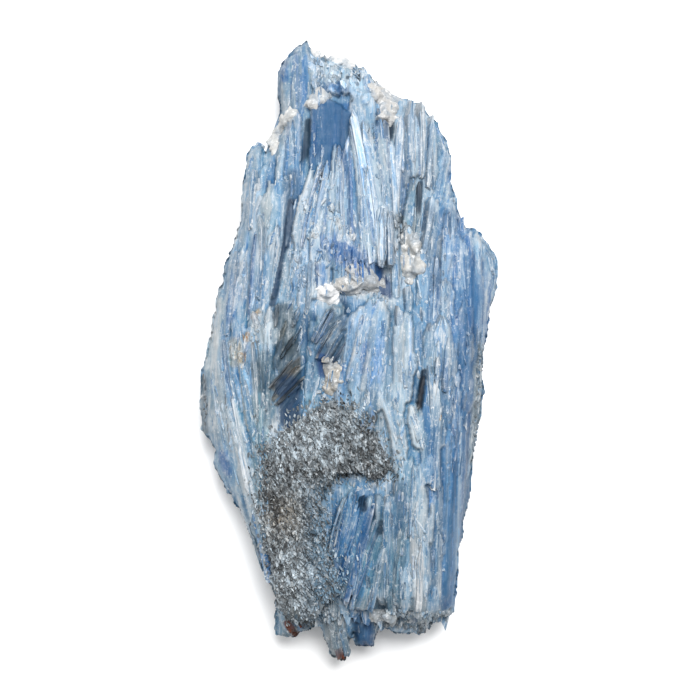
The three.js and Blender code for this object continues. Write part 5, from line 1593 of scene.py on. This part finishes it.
def mica_flakes(rng, count, low_size, high_size, lift, spill):
    """Flakes lying on the patch, some spilling over its rim onto the blades."""
    low, high = MICA_OUTLINE.min(0) - 3, MICA_OUTLINE.max(0) + 3
    xy = rng.uniform(low, high, (count * 4, 2))
    xy = xy[inside(xy + rng.normal(0, spill, xy.shape), MICA_OUTLINE)][:count]
    found, centre, _ = drop(grown_surface(), xy)
    xy, centre = xy[found], centre[found]
    n = len(xy)
    centre[:, 2] += rng.uniform(-0.15, lift, n)
    normal = rng.normal(0, 0.38, (n, 3)) + np.array([0.1, 0.2, 0.85])
    normal /= np.linalg.norm(normal, axis=1)[:, None]
    size = low_size + (high_size - low_size) * rng.uniform(0, 1, n) ** 2
    mottle = noises([[96, 1, xy[:, 0] * 0.5, xy[:, 1] * 0.35], [97, 1, xy[:, 0] * 1.5, xy[:, 1] * 1.1]])
    shade = np.clip(mica_shade(xy) + 0.6 * mottle + rng.normal(-0.04, 0.13, n), 0.07, 1)
    cool = linear("c3d4e0") * shade[:, None] ** 1.5
    warm = linear("c0b8aa") * shade[:, None] ** 1.6
    brown = np.exp(-((xy[:, 0] + 13) ** 2 + (xy[:, 1] + 32) ** 2) / 20)[:, None]
    mixer = np.clip(rng.uniform(-0.2, 0.4, (n, 1)) + brown * 0.8, 0, 1)
    colour = cool * (1 - mixer) + warm * mixer
    blue = smooth((xy[:, 0] + 11) / 6) * smooth((-24 - xy[:, 1]) / 4) * rng.uniform(0, 1, n)
    colour += blue[:, None] * (linear("6f97b4") * 0.5 - colour)
    return flakes(rng, centre, normal, size, rng.uniform(0.05, 0.14, n), colour)


rng = np.random.default_rng(31)
patch = make("mica_ground", mica_ground(rng), MICA)
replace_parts(patch, "mica_schist")
make("mica_flakes_large", mica_flakes(rng, 500, 0.45, 1.0, 0.2, 0.4), MICA)
make("mica_flakes_small", mica_flakes(rng, 8500, 0.18, 0.6, 0.3, 1.2), MICA)
make("mica_flakes_strewn", mica_flakes(rng, 1100, 0.18, 0.55, 0.2, 2.8), MICA)


# ---------------------------------------------------------------- quartz
def broken_shapes(rng, count):
    """Angular shapes of size 1, each the hull of a few random points."""
    shapes = []
    for _ in range(count):
        spots = rng.normal(0, 1, (14, 3))
        spots *= rng.uniform(0.44, 0.56, (14, 1)) / np.linalg.norm(spots, axis=1)[:, None]
        work = bmesh.new()
        for spot in spots:
            work.verts.new(spot)
        bmesh.ops.convex_hull(work, input=work.verts[:])
        bmesh.ops.delete(work, geom=[v for v in work.verts if not v.link_faces], context="VERTS")
        work.verts.index_update()
        hull = [[v.index for v in face.verts] for face in work.faces]
        shapes.append((np.array([v.co[:] for v in work.verts]), hull))
        work.free()
    return shapes


SHAPES = broken_shapes(np.random.default_rng(50), 30)


def grain(rng, centre, size, colour):
    """One broken grain, turned at random."""
    spots, faces = SHAPES[rng.integers(len(SHAPES))]
    turn, _ = np.linalg.qr(rng.normal(0, 1, (3, 3)))
    turn *= np.sign(np.linalg.det(turn))
    points = centre + spots @ turn * size
    tint = np.tile(colour, (len(points), 1)) * rng.uniform(0.88, 1.08, (len(points), 1))
    return unfrosted(points, faces, tint, points)


def fused(parts, cell=0.26):
    """Grains grown together: the points and faces of one closed, slightly worn skin around them all."""
    data = merged(parts)
    mesh = bpy.data.meshes.new("fused")
    mesh.from_pydata(data["points"].tolist(), [], data["faces"])
    item = bpy.data.objects.new("fused", mesh)
    bpy.context.scene.collection.objects.link(item)
    cover = item.modifiers.new("cover", "REMESH")
    cover.mode = "VOXEL"
    cover.voxel_size = cell
    wear = item.modifiers.new("wear", "SMOOTH")
    wear.factor = 0.5
    wear.iterations = 1
    found = item.evaluated_get(bpy.context.evaluated_depsgraph_get()).to_mesh()
    points = np.array([v.co[:] for v in found.vertices])
    faces = [list(p.vertices) for p in found.polygons]
    bpy.data.objects.remove(item)
    bpy.data.meshes.remove(mesh)
    return points, faces


def knot(node, seed, code, route, width, grains, rise=1.0):
    """A knot of quartz, of grains grown together along a route of [x, y] points, in place of its CAD node."""
    rng = np.random.default_rng(seed)
    route = np.array(route, float)
    pick = rng.uniform(0, len(route) - 1, grains)
    leg = np.minimum(pick.astype(int), len(route) - 2)
    xy = route[leg] + (pick - leg)[:, None] * (route[leg + 1] - route[leg])
    away = np.clip(rng.normal(0, 0.24, (grains, 2)), -0.5, 0.5) * width
    found, ground, _ = drop(grown_surface(), xy + away)
    heap = rise * np.exp(-(away ** 2).sum(1) / (0.4 * width) ** 2)
    ground[:, 2] += heap * rng.uniform(0.2, 1, grains) - 0.75
    parts = []
    for k in np.nonzero(found)[0]:
        large = k < 0.6 * grains
        size = (rng.uniform(0.8, 1.5) if large else rng.uniform(0.3, 0.5)) * min(width, 2.5)
        size = size * rng.uniform(0.7, 1.3, 3) * 0.9
        parts.append(grain(rng, ground[k] + [0, 0, 0 if large else 0.5], size, linear(code)))
    points, faces = fused(parts)
    points += rng.normal(0, 0.02, points.shape)
    cloud = value_noise(seed, points[:, 0] * 0.9 + 40, points[:, 1] * 0.9 + 40)[:, None]
    speck = value_noise(seed + 1, points[:, 0] * 3 + 200, points[:, 1] * 3 + points[:, 2] + 200)[:, None]
    tone = linear(code) + smooth((cloud - 0.35) / 0.4) * 0.65 * (linear("9fafbe") - linear(code))
    tone = tone * (0.72 + 0.4 * speck) * QUARTZ_ALBEDO
    data = unfrosted(points, faces, tone, points)
    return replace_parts(make(node + "_grains", data, QUARTZ), node)


def strewn(rng, spots):
    """Places along each spot's line, with the way the ground faces there and the spot's size and colour."""
    for x0, y0, x1, y1, radius, count, size, code in spots:
        t = rng.uniform(0, 1, (count, 1))
        xy = np.array([x0, y0]) * (1 - t) + np.array([x1, y1]) * t + rng.normal(0, 0.45, (count, 2)) * radius
        found, place, facing = drop(grown_surface(), xy)
        yield place[found], facing[found], size, linear(code)


def crumbs(name, seed, spots):
    """Broken kyanite grains heaped on the blades; each spot is [x, y, x, y, radius, count, size, colour]."""
    rng = np.random.default_rng(seed)
    parts = []
    for place, _, size, colour in strewn(rng, spots):
        for spot in place:
            across = size * np.exp(rng.normal(0, 0.35)) * rng.uniform(0.7, 1.4, 3) * [1, 1.5, 0.8]
            tone = colour * math.exp(rng.normal(0, 0.22)) * ALBEDO
            parts.append(grain(rng, spot + [0, 0, rng.uniform(-0.3, 0.15)], across, tone))
    return make(name, merged(parts), KYANITE)


def chips(name, seed, spots):
    """Thin broken plates lying every way on the blades; each spot is as in crumbs."""
    rng = np.random.default_rng(seed)
    parts = []
    for place, facing, size, colour in strewn(rng, spots):
        n = len(place)
        normal = facing + rng.normal(0, 0.22, (n, 3)) + [0, 0, 0.3]
        normal /= np.linalg.norm(normal, axis=1)[:, None]
        across = size * np.exp(rng.normal(0, 0.4, n))
        tone = colour * np.exp(rng.normal(0, 0.22, (n, 1))) * ALBEDO
        part = flakes(rng, place, normal, across, np.full(n, 0.12), tone, 1.8)
        part["lath"] = part["points"]
        parts.append(part)
    return make(name, merged(parts), KYANITE)


crumbs("crumbs_kyanite", 71, [
    [-9, 29.5, -8.4, 26, 0.8, 24, 0.6, "d3dfe9"],
    [-7.2, 24.4, -7, 22, 0.8, 24, 0.6, "e4eaee"],
    [-6.4, 36, -5, 33, 0.9, 16, 0.5, "dbe4ec"],
    [-3.2, 27.6, -2, 24.6, 1.2, 36, 0.55, "d5dee6"],
    [-0.6, 23.4, 1, 21.4, 0.9, 26, 0.55, "dfe6ec"],
    [-11, 19, -9, 13, 1.4, 36, 0.6, "a9c0d6"],
    [-5, 20, 3, 15.6, 1.6, 50, 0.6, "7396bd"],
    [-0.6, 12, 7, 10, 1.0, 70, 0.55, "c6d1da"],
    [9, 26, 11.6, 20, 1.4, 60, 0.5, "8b979f"],
    [25.6, 1, 25, -21, 0.9, 110, 0.55, "8d989f"],
    [-29, -5, -29, -15, 0.5, 30, 0.5, "7d8489"],
    [6.4, -51, 19.6, -52.6, 1.2, 120, 0.7, "9aa7b0"],
    [7, -54, 16, -55.4, 1.0, 80, 0.6, "7f8a92"],
    [-5.6, -50, -3, -56, 1.3, 60, 0.6, "838f98"],
    [-12, -51.4, -7.4, -54.4, 1.0, 50, 0.6, "6f7678"],
    [-3, -4, -5.4, -8, 1.4, 50, 0.55, "a4b2bd"],
    [-22.8, 1.5, -21, -3, 1.2, 40, 0.5, "c3bfb4"],
    [-17.4, 7, -19.4, 1, 1.1, 30, 0.5, "b4bfc6"],
])
crumbs("crumbs_rust", 72, [
    [-12.6, -54.8, -11.2, -56.8, 0.6, 22, 0.45, "5e2a10"],
    [-10.1, -54.3, -9.7, -55.2, 0.3, 6, 0.35, "7a3a18"],
    [-1.2, -61.2, -1.5, -61.7, 0.2, 4, 0.35, "6b2f14"],
    [17.4, -12.8, 17.4, -13.3, 0.2, 4, 0.4, "c79a6a"],
    [-20, 2.8, -20.2, 2.2, 0.3, 4, 0.35, "b98555"],
])
chips("chips_crown", 73, [
    [-6.6, 57.6, -6, 52.2, 1.4, 30, 0.8, "aec4d8"],
    [-3, 57.2, -3, 53.6, 1.9, 60, 0.8, "bccfdd"],
    [1, 56, 1, 53.2, 1.9, 60, 0.8, "b3c8d9"],
    [3.6, 54.6, 3.4, 51, 1.2, 30, 0.8, "9fb8d0"],
])

knot("quartz_crown", 51, "e1e2e2", [[-6.8, 59.4], [-4.4, 59.2], [-2, 58], [0.6, 56.8]], 2, 110)
knot("quartz_ridge", 52, "c9c8c6", [[4.8, 51.6], [6.4, 50.6], [7.8, 49.4], [7.4, 46.4]], 3.6, 190, 0.8)
knot("quartz_shoulder", 53, "dddedc", [[-10.8, 47.2], [-13.2, 45.4], [-15, 42.6], [-14.9, 39.6]], 1.8, 150,
     rise=0.7)
knot("quartz_notch", 54, "d0d2d2", [[-5, 50.2], [-6.8, 49.2], [-7.9, 48]], 1.9, 90, 0.7)
knot("quartz_white_knot", 55, "ffffff", [[-5.6, 11.2], [-3.2, 10.6]], 2.6, 70, 0.8)
knot("quartz_grey_knot", 56, "c1c2c2", [[-1.2, 12], [1.2, 14.6], [4.4, 12.6]], 4, 170, 0.8)
knot("quartz_pocket", 57, "cdcdca", [[11.4, 22.4], [12.4, 18], [11.6, 14.6]], 3.2, 170, 0.8)
knot("quartz_hollow", 58, "bdb8ae", [[-3.8, -2.6], [-3, -5], [-3.2, -6.8]], 2.6, 90, 0.8)
knot("quartz_heel", 59, "999fa2", [[4.6, -52.4], [7, -52], [8.4, -53.4]], 2, 70, 0.5)

ALL_ROWS = CROWN + LEFT_SHOULDER + SPRAY + RIGHT_SHOULDER + MIDDLE + RIGHT_BLOCK + LOWER_FAN + LEFT_FAN + FOOT
LOW, HIGH = (-30, -62), (30, 62)
splinters("splinters_fine", 61, ALL_ROWS, 1400, 2.2, 0.22, LOW, HIGH, [WHITE, PALE, BLUE, DEEP])
splinters("splinters_coarse", 62, ALL_ROWS, 500, 4.5, 0.5, LOW, HIGH, [WHITE, PALE, PALE, MID, BLUE])
splinters("splinters_strewn", 63, ALL_ROWS, 400, 1.8, 0.5, (-29, -50), (28, 40), [WHITE, PALE, BLUE, DEEP],
          stray=0.25, most=0.7)


# ---------------------------------------------------------------- table, light and camera
TABLE_HALF = 3.0  # metres
VIEW_WIDTH = 0.140  # metres that the picture spans
VIEW_LEVEL = 0.012  # height, in metres, at which it spans them


def table_top():
    """A pale matt floor."""
    mesh = bpy.data.meshes.new("table_top")
    r = TABLE_HALF
    mesh.from_pydata([(-r, -r, 0), (r, -r, 0), (r, r, 0), (-r, r, 0)], [], [(0, 1, 2, 3)])
    floor = bpy.data.objects.new("table_top", mesh)
    bpy.context.scene.collection.objects.link(floor)
    material = bpy.data.materials.new("table_top")
    material.use_nodes = True
    shader = material.node_tree.nodes["Principled BSDF"]
    shader.inputs["Base Color"].default_value = (0.93, 0.93, 0.93, 1)
    shader.inputs["Roughness"].default_value = 0.9
    shader.inputs["Specular IOR Level"].default_value = 0.1
    mesh.materials.append(material)


def area_light(name, place, size, power, aim=(0, 0, 0.01)):
    """A square lamp, turned to the specimen."""
    data = bpy.data.lights.new(name, "AREA")
    data.shape = "SQUARE"
    data.size = size
    data.energy = power
    lamp = bpy.data.objects.new(name, data)
    bpy.context.scene.collection.objects.link(lamp)
    lamp.location = place
    direction = np.array(aim) - np.array(place)
    lamp.rotation_euler = Vector(direction).to_track_quat("-Z", "Y").to_euler()


def camera():
    """A long lens straight above, looking down."""
    data = bpy.data.cameras.new("camera")
    data.sensor_width = 36
    data.lens = 100
    view = bpy.data.objects.new("camera", data)
    bpy.context.scene.collection.objects.link(view)
    distance = VIEW_WIDTH * data.lens / data.sensor_width
    view.location = (0, 0, VIEW_LEVEL + distance)
    data.clip_start = 0.01
    data.clip_end = 10
    bpy.context.scene.camera = view


def world():
    """Even white light from all round."""
    made = bpy.data.worlds.new("studio")
    made.use_nodes = True
    made.node_tree.nodes["Background"].inputs["Color"].default_value = (1, 1, 1, 1)
    made.node_tree.nodes["Background"].inputs["Strength"].default_value = 0.5
    bpy.context.scene.world = made


table_top()
area_light("key", (0.1, 0.34, 0.8), 0.42, 12)
area_light("fill", (-0.25, 0.1, 0.8), 0.9, 1.5)
camera()
world()
bpy.context.scene.view_settings.view_transform = "Standard"
